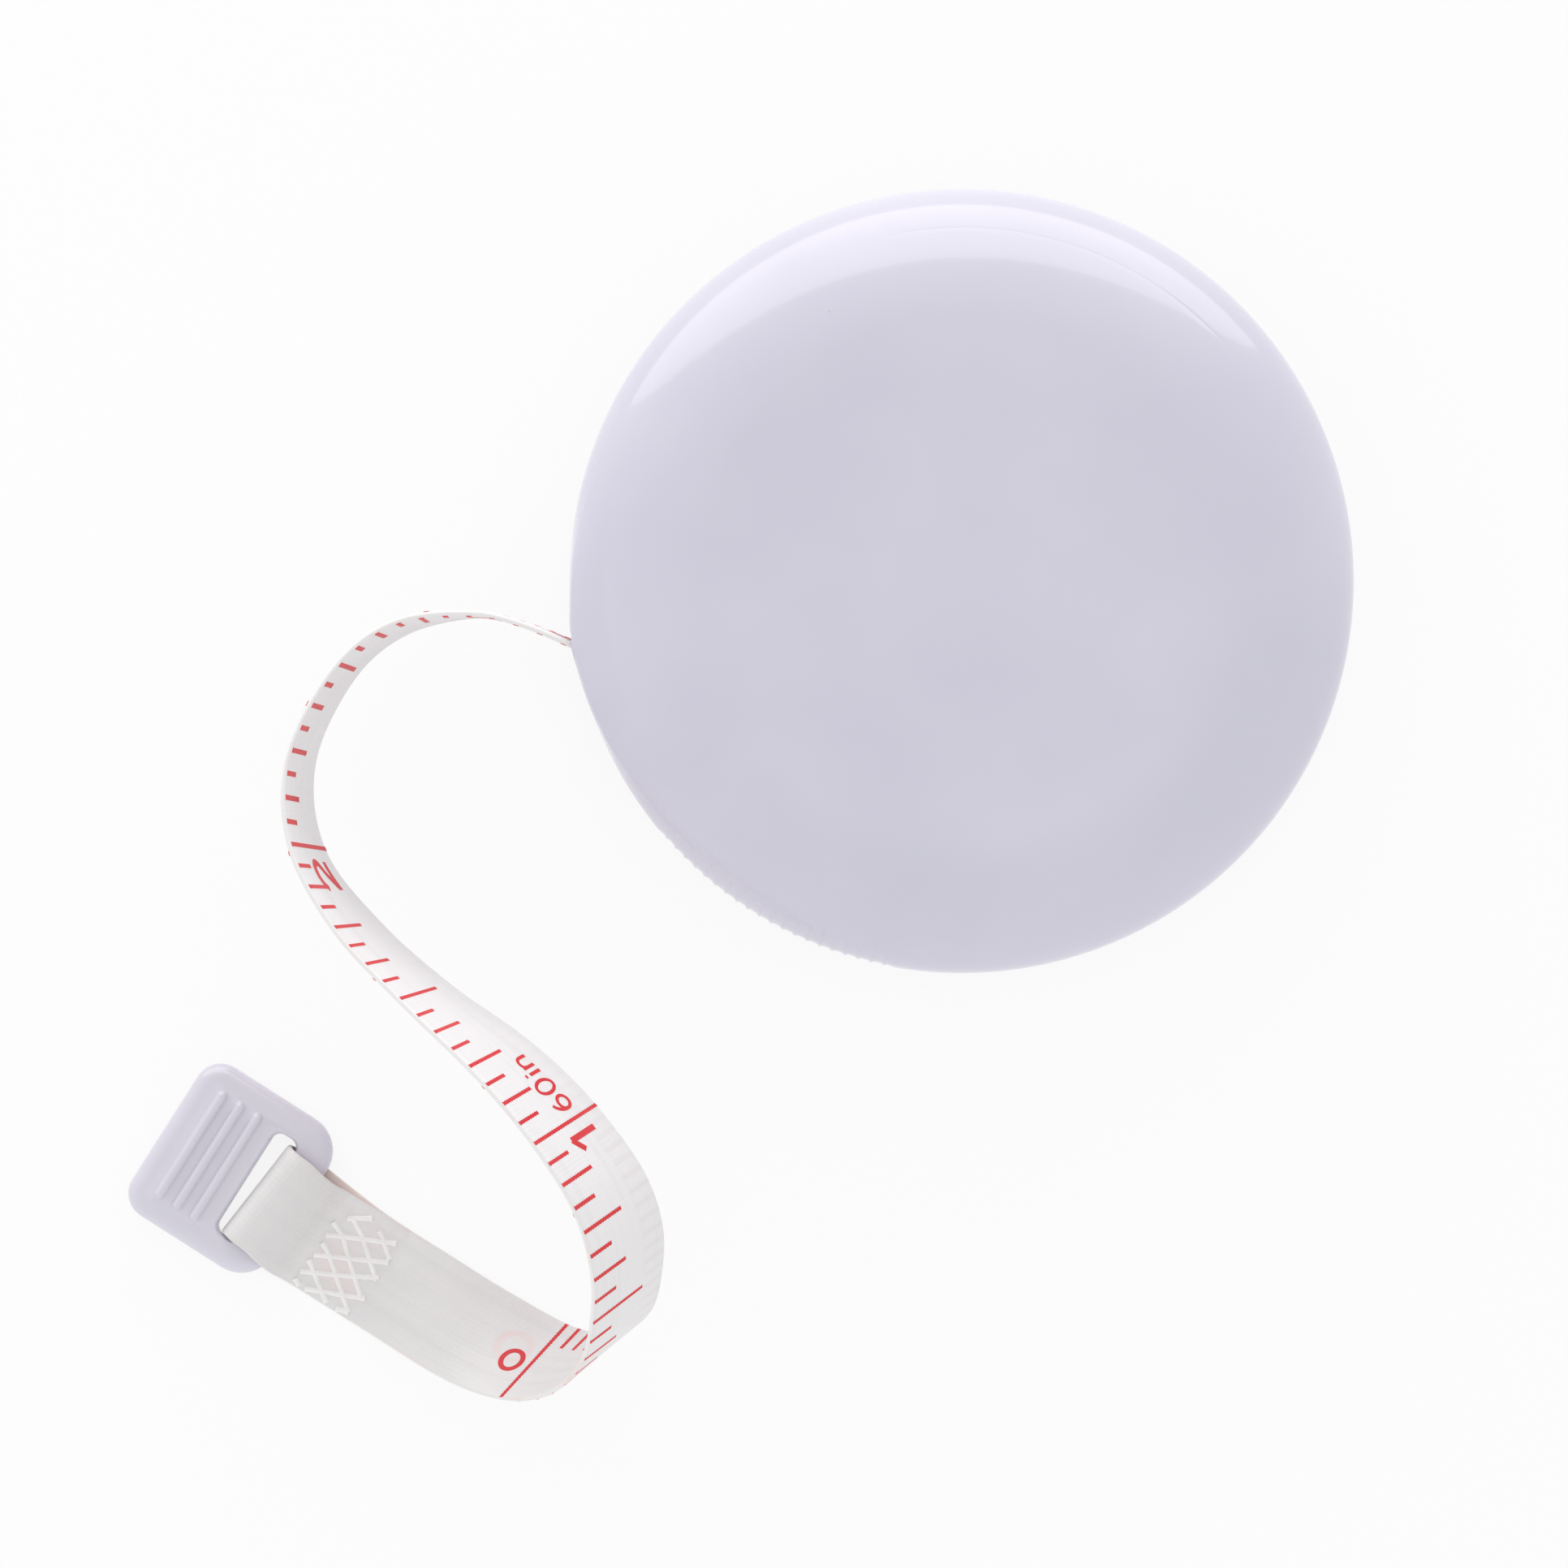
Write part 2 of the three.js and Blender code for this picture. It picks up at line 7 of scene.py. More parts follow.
import bmesh
import bpy
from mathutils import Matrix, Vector


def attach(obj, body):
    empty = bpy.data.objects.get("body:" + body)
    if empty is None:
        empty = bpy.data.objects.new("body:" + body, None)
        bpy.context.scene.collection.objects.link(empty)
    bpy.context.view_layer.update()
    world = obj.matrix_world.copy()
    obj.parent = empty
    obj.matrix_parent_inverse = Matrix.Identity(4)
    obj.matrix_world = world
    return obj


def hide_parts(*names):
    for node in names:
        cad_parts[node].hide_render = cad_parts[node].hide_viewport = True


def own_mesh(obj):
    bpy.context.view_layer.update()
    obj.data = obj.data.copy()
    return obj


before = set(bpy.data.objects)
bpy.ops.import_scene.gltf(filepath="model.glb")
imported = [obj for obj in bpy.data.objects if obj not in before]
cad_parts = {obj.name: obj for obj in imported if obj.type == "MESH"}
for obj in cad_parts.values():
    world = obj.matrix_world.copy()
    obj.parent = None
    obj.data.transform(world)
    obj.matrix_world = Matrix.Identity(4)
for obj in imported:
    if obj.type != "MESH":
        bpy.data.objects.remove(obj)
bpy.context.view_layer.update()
scene = bpy.context.scene
mm = 0.001
sixteenth = 25.4 / 16  # of an inch, the step between two stations along the tape
tapeWidth = 7.3


# Camera: straight down, framed as in the photograph
cameraLook = {
    "place": (-11.67, -13.32, 450.0),
    "lens": 154.55,
    "sensor": 36.0,
    "clip": (0.01, 20),
}


def makeCamera(look):
    data = bpy.data.cameras.new("camera")
    data.lens = look["lens"]
    data.sensor_width = look["sensor"]
    data.clip_start, data.clip_end = look["clip"]
    camera = bpy.data.objects.new("camera", data)
    camera.location = Vector(look["place"]) * mm
    scene.collection.objects.link(camera)
    scene.camera = camera


makeCamera(cameraLook)
print("camera set")


# Small helpers for numbers
def smoothStep(share):
    share = min(1.0, max(0.0, share))
    return share * share * (3 - 2 * share)


def wave(degrees):
    return math.cos(math.radians(degrees)), math.sin(math.radians(degrees))


def arc(centreX, centreY, radiusX, radiusY, start, stop, steps=16):
    points = []
    for i in range(steps + 1):
        cosine, sine = wave(start + (stop - start) * i / steps)
        points.append((centreX + radiusX * cosine, centreY + radiusY * sine))
    return points


# The place, between those in one list, where a value falls in the rising list beside it
def lookUp(value, rising, places):
    i = min(max(bisect_right(rising, value), 1), len(rising) - 1)
    share = (value - rising[i - 1]) / (rising[i] - rising[i - 1])
    return places[i - 1] + share * (places[i] - places[i - 1])


# Small helpers for meshes
def shadeByAngle(mesh, angle):
    work = bmesh.new()
    work.from_mesh(mesh)
    bmesh.ops.remove_doubles(work, verts=work.verts, dist=1e-7)
    bmesh.ops.recalc_face_normals(work, faces=work.faces)
    for face in work.faces:
        face.smooth = True
    for edge in work.edges:
        edge.smooth = edge.calc_face_angle(0) < math.radians(angle)
    work.to_mesh(mesh)
    work.free()


def addPiece(name, data):
    piece = bpy.data.objects.new(name, data)
    scene.collection.objects.link(piece)
    return piece


def addMesh(name, points, faces, angle):
    mesh = bpy.data.meshes.new(name)
    mesh.from_pydata([tuple(Vector(point) * mm) for point in points], [], faces)
    shadeByAngle(mesh, angle)
    return addPiece(name, mesh)


def applyModifiers(piece):
    graph = bpy.context.evaluated_depsgraph_get()
    mesh = bpy.data.meshes.new_from_object(piece.evaluated_get(graph))
    piece.modifiers.clear()
    piece.data = mesh


def carve(piece, tool, operation="DIFFERENCE"):
    cut = piece.modifiers.new("carve", "BOOLEAN")
    cut.operation = operation
    cut.solver = "EXACT"
    cut.object = tool
    applyModifiers(piece)
    bpy.data.objects.remove(tool)


# The faces from one closed loop of points to the next, where the last loop may be the first again
def skin(loopCount, size, steps):
    faces = []
    for i in range(steps):
        a, b = i * size, (i + 1) % loopCount * size
        for k in range(size):
            last = (k + 1) % size
            faces.append((a + k, b + k, b + last, a + last))
    return faces


# A profile of (radius, height) turned about Z. It may change with the angle.
def turned(name, profileAt, angles):
    points = []
    for turn in angles:
        cosine, sine = wave(turn)
        points += [(radius * cosine, radius * sine, height) for radius, height in profileAt(turn)]
    count = len(angles)
    return addMesh(name, points, skin(count, len(points) // count, count), 30)


# Closed loops of points stacked into a solid with two flat ends
def stacked(name, loops):
    count = len(loops[0])
    points = [point for loop in loops for point in loop]
    faces = [tuple(range(count))[::-1], tuple(range(len(points) - count, len(points)))]
    for a in range(0, len(points) - count, count):
        b = a + count
        for k in range(count):
            last = (k + 1) % count
            faces.append((a + k, a + last, b + last, b + k))
    return addMesh(name, points, faces, 32)


# Small helpers for materials
def newMaterial(name, colour, roughness, metallic=0.0):
    material = bpy.data.materials.new(name)
    material.use_nodes = True
    inputs = material.node_tree.nodes["Principled BSDF"].inputs
    inputs["Base Color"].default_value = (*colour, 1)
    inputs["Roughness"].default_value = roughness
    inputs["Metallic"].default_value = metallic
    return material, inputs


def addNode(material, kind, **values):
    node = material.node_tree.nodes.new(kind)
    for key, value in values.items():
        if hasattr(node, key) and key not in node.inputs:
            setattr(node, key, value)
        else:
            node.inputs[key].default_value = value
    return node


def join(material, output, target):
    material.node_tree.links.new(output, target)


def mathNode(material, operation, first, second=0.0, third=0.0):
    node = addNode(material, "ShaderNodeMath", operation=operation)
    for slot, value in zip(node.inputs, (first, second, third)):
        if isinstance(value, (int, float)):
            slot.default_value = value
        else:
            join(material, value, slot)
    return node.outputs[0]


def times(material, first, second):
    return mathNode(material, "MULTIPLY", first, second)


def distanceTo(material, value, middle):
    return mathNode(material, "ABSOLUTE", mathNode(material, "SUBTRACT", value, middle))


def placeOf(material):
    return addNode(material, "ShaderNodeTexCoord").outputs["Object"]


def noise(material, place, size, detail, stretch=(1, 1, 1)):
    mapping = addNode(material, "ShaderNodeMapping")
    mapping.inputs["Scale"].default_value = stretch
    join(material, place, mapping.inputs["Vector"])
    texture = addNode(material, "ShaderNodeTexNoise", Scale=1 / (size * mm), Detail=detail)
    join(material, mapping.outputs[0], texture.inputs["Vector"])
    return texture.outputs["Fac"]


def ramp(material, factor, stops):
    node = addNode(material, "ShaderNodeValToRGB")
    for element, (place, colour) in zip(node.color_ramp.elements, stops):
        element.position = place
        element.color = (*colour, 1)
    join(material, factor, node.inputs["Fac"])
    return node.outputs["Color"]


def mixColour(material, factor, first, second):
    node = addNode(material, "ShaderNodeMix", data_type="RGBA")
    for slot, value in zip((node.inputs[0], node.inputs[6], node.inputs[7]), (factor, first, second)):
        if isinstance(value, tuple):
            slot.default_value = (*value, 1)
        else:
            join(material, value, slot)
    return node.outputs[2]


def rangeOf(material, value, low, high, newLow, newHigh):
    node = addNode(material, "ShaderNodeMapRange")
    for slot, number in zip(("From Min", "From Max", "To Min", "To Max"), (low, high, newLow, newHigh)):
        node.inputs[slot].default_value = number
    join(material, value, node.inputs["Value"])
    return node.outputs["Result"]


def bumpFrom(material, height, distance):
    node = addNode(material, "ShaderNodeBump", Strength=1.0, Distance=distance * mm)
    join(material, height, node.inputs["Height"])
    join(material, node.outputs[0], material.node_tree.nodes["Principled BSDF"].inputs["Normal"])


# Glossy moulded plastic: two shades in wide clouds, a few dark specks and a slightly uneven gloss
plasticLook = {
    "colour": (0.618, 0.605, 0.714),
    "paler": (0.648, 0.634, 0.741),
    "speck": (0.30, 0.30, 0.36),
    "roughness": (0.13, 0.19),
    "ior": 1.5,
    "coat": 0.5,
    "coatRoughness": 0.04,
    "cloudSize": 14,
    "speckSpacing": 4.2,
    "speckRadius": 0.056,
    "speckShare": 0.2,
    "grainSize": 0.5,
    "moundSize": 3.5,
    "moundHeight": 0.004,
}
tabLook = {
    **plasticLook,
    "colour": (0.645, 0.628, 0.715),
    "paler": (0.68, 0.662, 0.748),
    "roughness": (0.2, 0.26),
    "cloudSize": 17,
    "speckSpacing": 6.5,
    "moundHeight": 0.006,
}


def makePlastic(name, look):
    material, inputs = newMaterial(name, look["colour"], look["roughness"][0])
    inputs["IOR"].default_value = look["ior"]
    inputs["Coat Weight"].default_value = look["coat"]
    inputs["Coat Roughness"].default_value = look["coatRoughness"]
    place = placeOf(material)
    cloud = rangeOf(material, noise(material, place, look["cloudSize"], 3), 0.35, 0.65, 0, 1)
    colour = mixColour(material, cloud, look["colour"], look["paler"])
    cells = addNode(material, "ShaderNodeTexVoronoi", Scale=1 / (look["speckSpacing"] * mm))
    join(material, place, cells.inputs["Vector"])
    nearest = look["speckRadius"] / look["speckSpacing"]
    near = mathNode(material, "LESS_THAN", cells.outputs["Distance"], nearest)
    split = addNode(material, "ShaderNodeSeparateColor")
    join(material, cells.outputs["Color"], split.inputs[0])
    rare = mathNode(material, "GREATER_THAN", split.outputs[0], 1 - look["speckShare"])
    colour = mixColour(material, times(material, near, rare), colour, look["speck"])
    join(material, colour, inputs["Base Color"])
    grain = noise(material, place, look["grainSize"], 4)
    join(material, rangeOf(material, grain, 0.3, 0.7, *look["roughness"]), inputs["Roughness"])
    bumpFrom(material, noise(material, place, look["moundSize"], 2), look["moundHeight"])
    return material


# Satin finishes of the print and of the parts inside. Clouds and grain: size, detail and stretch.
satinLook = {
    "roughness": 0.45,
    "smoother": 0.06,
    "rougher": 0.08,
    "metallic": 0.0,
    "specular": 0.5,
    "clouds": (6, 4),
    "cloudRange": (0.3, 0.7),
    "grain": (0.25, 5),
    "grainHeight": 0.01,
}
reelLook = {**satinLook, "colour": (0.78, 0.78, 0.76), "shade": (0.70, 0.70, 0.69)}
rubberLook = {
    **satinLook,
    "colour": (0.035, 0.035, 0.037),
    "shade": (0.055, 0.054, 0.055),
    "roughness": 0.75,
}
inkLook = {
    **satinLook,
    "colour": (0.68, 0.036, 0.045),
    "shade": (0.74, 0.075, 0.08),
    "roughness": 0.5,
    "specular": 0.25,
}

# Rolled spring steel: fine lines along the strip, with a blue grey cast in places
steelLook = {
    **satinLook,
    "colour": (0.46, 0.47, 0.49),
    "shade": (0.36, 0.38, 0.42),
    "roughness": 0.3,
    "rougher": 0.12,
    "metallic": 1.0,
    "clouds": (5, 2),
    "cloudRange": (0.35, 0.65),
    "grain": (0.9, 5, (1, 1, 14)),
    "grainHeight": 0.006,
}


def makeSatin(name, look):
    material, inputs = newMaterial(name, look["colour"], look["roughness"], look["metallic"])
    inputs["Specular IOR Level"].default_value = look["specular"]
    place = placeOf(material)
    cloud = rangeOf(material, noise(material, place, *look["clouds"]), *look["cloudRange"], 0, 1)
    join(material, mixColour(material, cloud, look["colour"], look["shade"]), inputs["Base Color"])
    grain = noise(material, place, *look["grain"])
    low, high = look["roughness"] - look["smoother"], look["roughness"] + look["rougher"]
    join(material, rangeOf(material, grain, 0.3, 0.7, low, high), inputs["Roughness"])
    bumpFrom(material, grain, look["grainHeight"])
    return material


# Coated cloth: streaks along the tape and threads as a fine bump. The tape itself also shows old ink, a
# greyer folded end, the other side's print, and painted light: the cloth beyond the bend is painted paler.
# Its map runs along it in stations and across it in shares of its width from the inch edge, with the
# centimetre side 2 further on.
tapeLook = {
    "colour": (0.80, 0.79, 0.785),
    "streak": (0.745, 0.735, 0.735),
    # Painted light: the paler colour beyond the bend, standing in for light that comes through the cloth
    "paintedThroughLight": (0.86, 0.845, 0.85),
    "fold": (0.70, 0.69, 0.69),
    "stain": (0.84, 0.64, 0.58),
    "ghost": (0.86, 0.66, 0.65),
    "ghostTick": (0.79, 0.735, 0.745),
    "roughness": (0.36, 0.5),
    "sheen": 0.08,
    "streakSize": 1.1,
    "patchSize": 5,
    "fuzzSize": 0.2,
    "threadPitch": 0.32,
    "threadLevel": 0.3,
    "threadHeight": 0.010,
    "ghostStation": -1.0,
    "ghostShare": 0.56,
    "ghostRadius": 1.05,
}
weldLook = {**tapeLook, "colour": (0.92, 0.91, 0.905), "streak": (0.86, 0.84, 0.84)}

# What lies on the cloth, one over the other: a colour, and what its strength is the product of. Each part of
# it is something measured, the two values that it runs between, and the strength at each of them.
tapeTraces = (
    # Painted light: beyond the bend the cloth is painted paler, standing in for light that comes through it
    ("paintedThroughLight", (("along", -6, 8, 0, 1), ("streaks", 0.3, 0.5, 0.6, 1))),
    # The zero of the other side, as a ring
    ("ghost", (("offRing", 0.12, 0.4, 0.5, 0), ("upper",), ("cloud", 0.4, 0.6, 0.5, 1))),
    # The millimetres of the other side, as grey stripes at the far edge
    ("ghostTick", (
        ("offStripe", 0.08, 0.26, 0.4, 0), ("share", 0.69, 0.73, 0, 1), ("along", 14, 19, 1, 0.25),
        ("lower",),
    )),
    # Old ink along the edges
    ("stain", (("offMiddle", 0.46, 0.5, 0, 0.55), ("cloud", 0.5, 0.62, 0, 1), ("along", 4, 12, 1, 0.3))),
    # The folded end, which is greyer
    ("fold", (("along", -18.2, -17.2, 0, 0.6), ("along", -13, -10, 1, 0), ("lower",))),
    # Old ink in the weld, and on the layer below it
    ("ghost", (("along", -18.6, -18.0, 0.3, 0), ("lower",), ("cloud", 0.5, 0.62, 0, 1))),
    ("stain", (("along", -9.5, -8.6, 0.6, 0), ("share", 0.72, 0.86, 0, 1), ("upper",))),
)


def axesOf(material, place):
    split = addNode(material, "ShaderNodeSeparateXYZ")
    join(material, place, split.inputs[0])
    return split.outputs[0], split.outputs[1]


def makeTapeCloth(name, look, mapped):
    material, inputs = newMaterial(name, look["colour"], look["roughness"][0])
    inputs["Sheen Weight"].default_value = look["sheen"]
    if mapped:
        station = addNode(material, "ShaderNodeUVMap", uv_map="tapeMap").outputs[0]
        scale = addNode(material, "ShaderNodeVectorMath", operation="MULTIPLY")
        scale.inputs[1].default_value = (sixteenth * mm, tapeWidth * mm, 1)
        join(material, station, scale.inputs[0])
        place = scale.outputs[0]
    else:
        place = placeOf(material)
    streaks = noise(material, place, look["streakSize"], 4, (0.06, 1.6, 1) if mapped else (1, 1, 1.6))
    cloud = noise(material, place, look["patchSize"], 3)
    patchy = mathNode(material, "MULTIPLY_ADD", cloud, 0.5, times(material, streaks, 0.5))
    colour = ramp(material, patchy, [(0.36, look["streak"]), (0.6, look["colour"])])
    if mapped:
        colour = addPrintTraces(material, look, colour, *axesOf(material, station), cloud, streaks)
    join(material, colour, inputs["Base Color"])
    join(material, rangeOf(material, cloud, 0.3, 0.7, *look["roughness"]), inputs["Roughness"])
    threads = [crossThreads(material, axis, look) for axis in axesOf(material, place)]
    weave = mathNode(material, "ADD", *threads)
    fuzz = noise(material, place, look["fuzzSize"], 3)
    bumpFrom(material, mathNode(material, "ADD", weave, fuzz), look["threadHeight"])
    return material


def crossThreads(material, axis, look):
    turns = times(material, axis, 2 * math.pi / (look["threadPitch"] * mm))
    return times(material, mathNode(material, "SINE", turns), look["threadLevel"])


def addPrintTraces(material, look, colour, along, across, cloud, streaks):
    upper = mathNode(material, "GREATER_THAN", across, 1.5)
    share = mathNode(material, "SUBTRACT", across, times(material, upper, 2.0))
    awayX = mathNode(material, "SUBTRACT", along, look["ghostStation"])
    awayX = times(material, awayX, sixteenth)
    awayY = mathNode(material, "SUBTRACT", share, look["ghostShare"])
    awayY = times(material, awayY, tapeWidth)
    square = mathNode(material, "MULTIPLY_ADD", awayX, awayX, times(material, awayY, awayY))
    millimetre = mathNode(material, "FRACT", times(material, along, sixteenth))
    measures = {
        "along": along,
        "share": share,
        "upper": upper,
        "lower": mathNode(material, "SUBTRACT", 1.0, upper),
        "cloud": cloud,
        "streaks": streaks,
        "offRing": distanceTo(material, mathNode(material, "SQRT", square), look["ghostRadius"]),
        "offStripe": distanceTo(material, millimetre, 0.5),
        "offMiddle": distanceTo(material, share, 0.5),
    }
    for name, parts in tapeTraces:
        strength = None
        for measure, *limits in parts:
            part = rangeOf(material, measures[measure], *limits) if limits else measures[measure]
            strength = part if strength is None else times(material, strength, part)
        colour = mixColour(material, strength, colour, look[name])
    return colour


casePlastic = makePlastic("case_gloss_plastic", plasticLook)
tabPlastic = makePlastic("tab_gloss_plastic", tabLook)
tapeCloth = makeTapeCloth("coated_cloth", tapeLook, True)
woundCloth = makeTapeCloth("wound_cloth", tapeLook, False)
weldCloth = makeTapeCloth("welded_cloth", weldLook, False)
redInk = makeSatin("red_scale_ink", inkLook)
reelPlastic = makeSatin("reel_plastic_white", reelLook)
springSteel = makeSatin("rolled_spring_steel", steelLook)
brakeRubber = makeSatin("brake_rubber_dark", rubberLook)
print("materials made")


def finishPiece(piece, material, body, slot, *nodes):
    piece.data.materials.append(material)
    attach(piece, body)
    if nodes:
        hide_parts(*nodes)


# Cloth tape, from its folded end at the tab to the reel. Each row of its route: the middle of the tape
# (x, y, z), the bearing of the line across it from the inch edge to the other edge, how far that line dips,
# and the station in sixteenths of an inch from the zero line.
tapeForm = {
    "width": tapeWidth,
    "thickness": 0.3,
    "archThickening": 0.35,
    "archFrom": 16,
    "archRows": 8,
    "endThickness": 0.25,
    "endRows": 0.6,
    "edgeSteps": 5,
    "flatSteps": 8,
    "stepsPerRow": 8,
    "tailHeading": 154.0,
    "tailStart": (-6.73, -13.80),
    "tailLength": 20.98,
    "tailShares": (1, 0.85, 0.5, 0.15, 0),
    "tailSlack": 0.45,
    "tailLean": 1.7,
    "tailStation": 50.4,
    "tailStationsPerMm": 0.63,
    "middleHeight": 6.5,
    "stationsFromRow": 12,
    "stationStep": 0.02,
}

tapeRoute = [
    (-38.6, -46.2, 0.35, 57, 0, -21.0),
    (-41.3, -44.5, 0.51, 56, 0, -19.2),
    (-42.9, -43.5, 0.78, 54, 0, -18.0),
    (-43.8, -42.9, 1.8, 53, 0, -17.1),
    (-44.6, -42.2, 2.3, 52, 0, -16.4),
    (-45.3, -41.5, 2.45, 52, 0, -15.7),
    (-46.1, -40.9, 2.4, 52, 0, -15.1),
    (-46.6, -40.5, 2, 52, 0, -14.6),
    (-46.8, -40.3, 1.3, 52, 0, -14.1),
    (-46.6, -40.4, 0.55, 52, 0, -13.6),
    (-45.9, -40.8, 0.21, 53, 0, -13.1),
    (-44.9, -41.4, 0.2, 54, 0, -12.4),
    (-43.6, -42.5, 0.2, 56, 0, -11.3),
    (-40.1, -45.2, 0.2, 58, 0, -8.5),
    (-36.2, -47.7, 0.45, 57, 3, -5.6),
    (-32.2, -50.1, 1, 53, 12, -2.6),
    (-28.5, -51.7, 2.1, 47, 28, 0),
    (-25.9, -51.9, 3.6, 42, 37, 2),
    (-24, -51, 5.5, 38, 40, 4),
    (-22.6, -49.3, 7.7, 35, 41, 6),
    (-22.0, -46.8, 9.6, 35, 41, 8),
    (-21.9, -44, 11.1, 34, 42, 10),
    (-22.6, -41, 12, 33, 45, 12),
    (-24.1, -38.1, 12.4, 32, 49, 14),
    (-27, -34.3, 12.1, 30, 53, 17),
    (-30.4, -30.9, 11.3, 26, 58, 20),
    (-35.2, -27, 9.7, 15, 65, 24),
    (-39.7, -22.7, 8.2, 3, 68, 28),
    (-43.1, -17.5, 7.1, -13, 75.5, 32),
    (-43.5, -11.7, 6.6, -18, 80, 35.7),
    (-40.7, -6, 6.5, -21, 82, 39.65),
    (-37, -3, 6.5, -24, 83, 42.7),
    (-32.3, -2.14, 6.5, -60, 90.2, 46),
    (-29.15, -2.72, 6.5, -95, 90.7, 48),
]

tailX, tailY = wave(tapeForm["tailHeading"])
for tailShare in tapeForm["tailShares"]:
    reach = tailShare * tapeForm["tailLength"]
    slack = tapeForm["tailSlack"] * tailShare ** 3
    tapeRoute.append((
        tapeForm["tailStart"][0] + reach * tailX + slack * tailY,
        tapeForm["tailStart"][1] + reach * tailY - slack * tailX,
        tapeForm["middleHeight"],
        tapeForm["tailHeading"] - 270,
        90 + tapeForm["tailLean"] * tailShare ** 3,
        tapeForm["tailStation"] + (1 - tailShare) * tapeForm["tailLength"] * tapeForm["tailStationsPerMm"],
    ))
lastRow = len(tapeRoute) - 1


# A smooth curve through the rows, at any place between them
def rowAt(place):
    place = min(lastRow, max(0.0, place))
    i = min(int(place), lastRow - 1)
    share = place - i
    here, after = tapeRoute[i], tapeRoute[i + 1]
    before = tapeRoute[i - 1] if i else [2 * a - b for a, b in zip(here, after)]
    beyond = tapeRoute[i + 2] if i + 2 <= lastRow else [2 * b - a for a, b in zip(here, after)]
    values = []
    for a, b, c, d in zip(before, here, after, beyond):
        bend = 2 * a - 5 * b + 4 * c - d + share * (3 * (b - c) + d - a)
        values.append(b + 0.5 * share * (c - a + share * bend))
    return values


def tapeFrame(place):
    x, y, z, bearing, dip, station = rowAt(place)
    flat, drop = wave(dip)
    towardX, towardY = wave(bearing)
    across = Vector((flat * towardX, flat * towardY, -drop))
    ahead = Vector(rowAt(place + 0.03)[:3]) - Vector(rowAt(place - 0.03)[:3])
    facing = ahead.cross(across).normalized()
    return Vector((x, y, z)), across, facing, station


def tapeThicknessAt(place):
    arch = 1 + tapeForm["archThickening"] * smoothStep((place - tapeForm["archFrom"]) / tapeForm["archRows"])
    end = tapeForm["endThickness"]
    return tapeForm["thickness"] * arch * (end + (1 - end) * smoothStep(place / tapeForm["endRows"]))


# A point on the tape: side 1 is the centimetre side, side -1 the inch side
def onTape(place, share, side, lift):
    middle, across, facing, _ = tapeFrame(place)
    out = side * (tapeThicknessAt(place) / 2 + lift)
    return middle + across * (share - 0.5) * tapeForm["width"] + facing * out


stationCount = int((lastRow - tapeForm["stationsFromRow"]) / tapeForm["stationStep"]) + 1
stationPlaces = [tapeForm["stationsFromRow"] + i * tapeForm["stationStep"] for i in range(stationCount)]
stations = [rowAt(place)[5] for place in stationPlaces]


# The outline of the tape's section: where a point starts across the tape, and how many half thicknesses it
# lies from there, sideways and out
def tapeSection(form):
    half = form["width"] / 2
    flats = [form["width"] * i / form["flatSteps"] - half for i in range(1, form["flatSteps"])]
    turns = [180 * i / form["edgeSteps"] for i in range(form["edgeSteps"] + 1)]
    section = [(aside, 0, 1) for aside in flats]
    section += [(half, cosine - 1, sine) for cosine, sine in (wave(90 - turn) for turn in turns)]
    section += [(-aside, 0, -1) for aside in flats]
    section += [(-half, cosine + 1, sine) for cosine, sine in (wave(-90 - turn) for turn in turns)]
    return section


def makeTape(form):
    section = tapeSection(form)
    width = len(section)
    points = []
    marks = []
    count = lastRow * form["stepsPerRow"]
    for i in range(count + 1):
        place = i / form["stepsPerRow"]
        middle, across, facing, station = tapeFrame(place)
        thick = tapeThicknessAt(place) / 2
        for start, sideways, outwards in section:
            aside, out = start + sideways * thick, outwards * thick
            points.append(middle + across * aside + facing * out)
            marks.append((station, aside / form["width"] + 0.5, out))
    faces = [tuple(range(width)), tuple(range(count * width, (count + 1) * width))[::-1]]
    faces += skin(count + 1, width, count)
    mesh = bpy.data.meshes.new("cloth_tape")
    mesh.from_pydata([tuple(point * mm) for point in points], [], faces)
    layer = mesh.uv_layers.new(name="tapeMap")
    for polygon in mesh.polygons:
        above = sum(marks[mesh.loops[k].vertex_index][2] for k in polygon.loop_indices) > 0
        for k in polygon.loop_indices:
            station, share, _ = marks[mesh.loops[k].vertex_index]
            layer.data[k].uv = (station, share + (2 if above else 0))
    shadeByAngle(mesh, 50)
    return addPiece("cloth_tape", mesh)


clothTape = makeTape(tapeForm)
finishPiece(clothTape, tapeCloth, "tape", "tape_cloth", "tape_free")
print("tape made")


# Printed scale: every mark is a thin slab of ink that follows the cloth. Glyphs have the station of their
# left side, the share of the tape's width at their foot, their height, stroke and relative width.
printForm = {
    "lift": 0.012,
    "sink": 0.03,
    "strokeRise": 0.002,
    "stroke": 0.25,
    "arcStroke": 0.09,
    "arcStation": 26,
    "arcStations": 8,
    "zigzag": 0.13,
    "zigzagDepth": 0.022,
    "lastStation": 62,
    "edgeShare": 0.012,
    "inchShares": {16: 1.0, 8: 0.70, 4: 0.54, 2: 0.45, 1: 0.305},
    "mmShares": {10: 1.0, 5: 0.42, 1: 0.29},
    "inchNumerals": (
        ("1", 14.70, 0.81, 3.0, 0.43, 0.8),
        ("2", 29.87, 0.765, 3.0, 0.56, 1.5),
        ("3", 45.9, 0.8, 3.0, 0.41, 1.36),
    ),
    "lengthMark": (("6", 16.5), ("0", 17.42), ("i", 18.38), ("n", 18.80)),
    "lengthGlyphs": (0.756, 1.95, 0.25, 1),
    "mmShift": 0.17,
    "cmNumerals": 10,
    "cmShift": -1.09,
    "cmGlyphs": (0.30, 1.9, 0.33, 1.38),
}

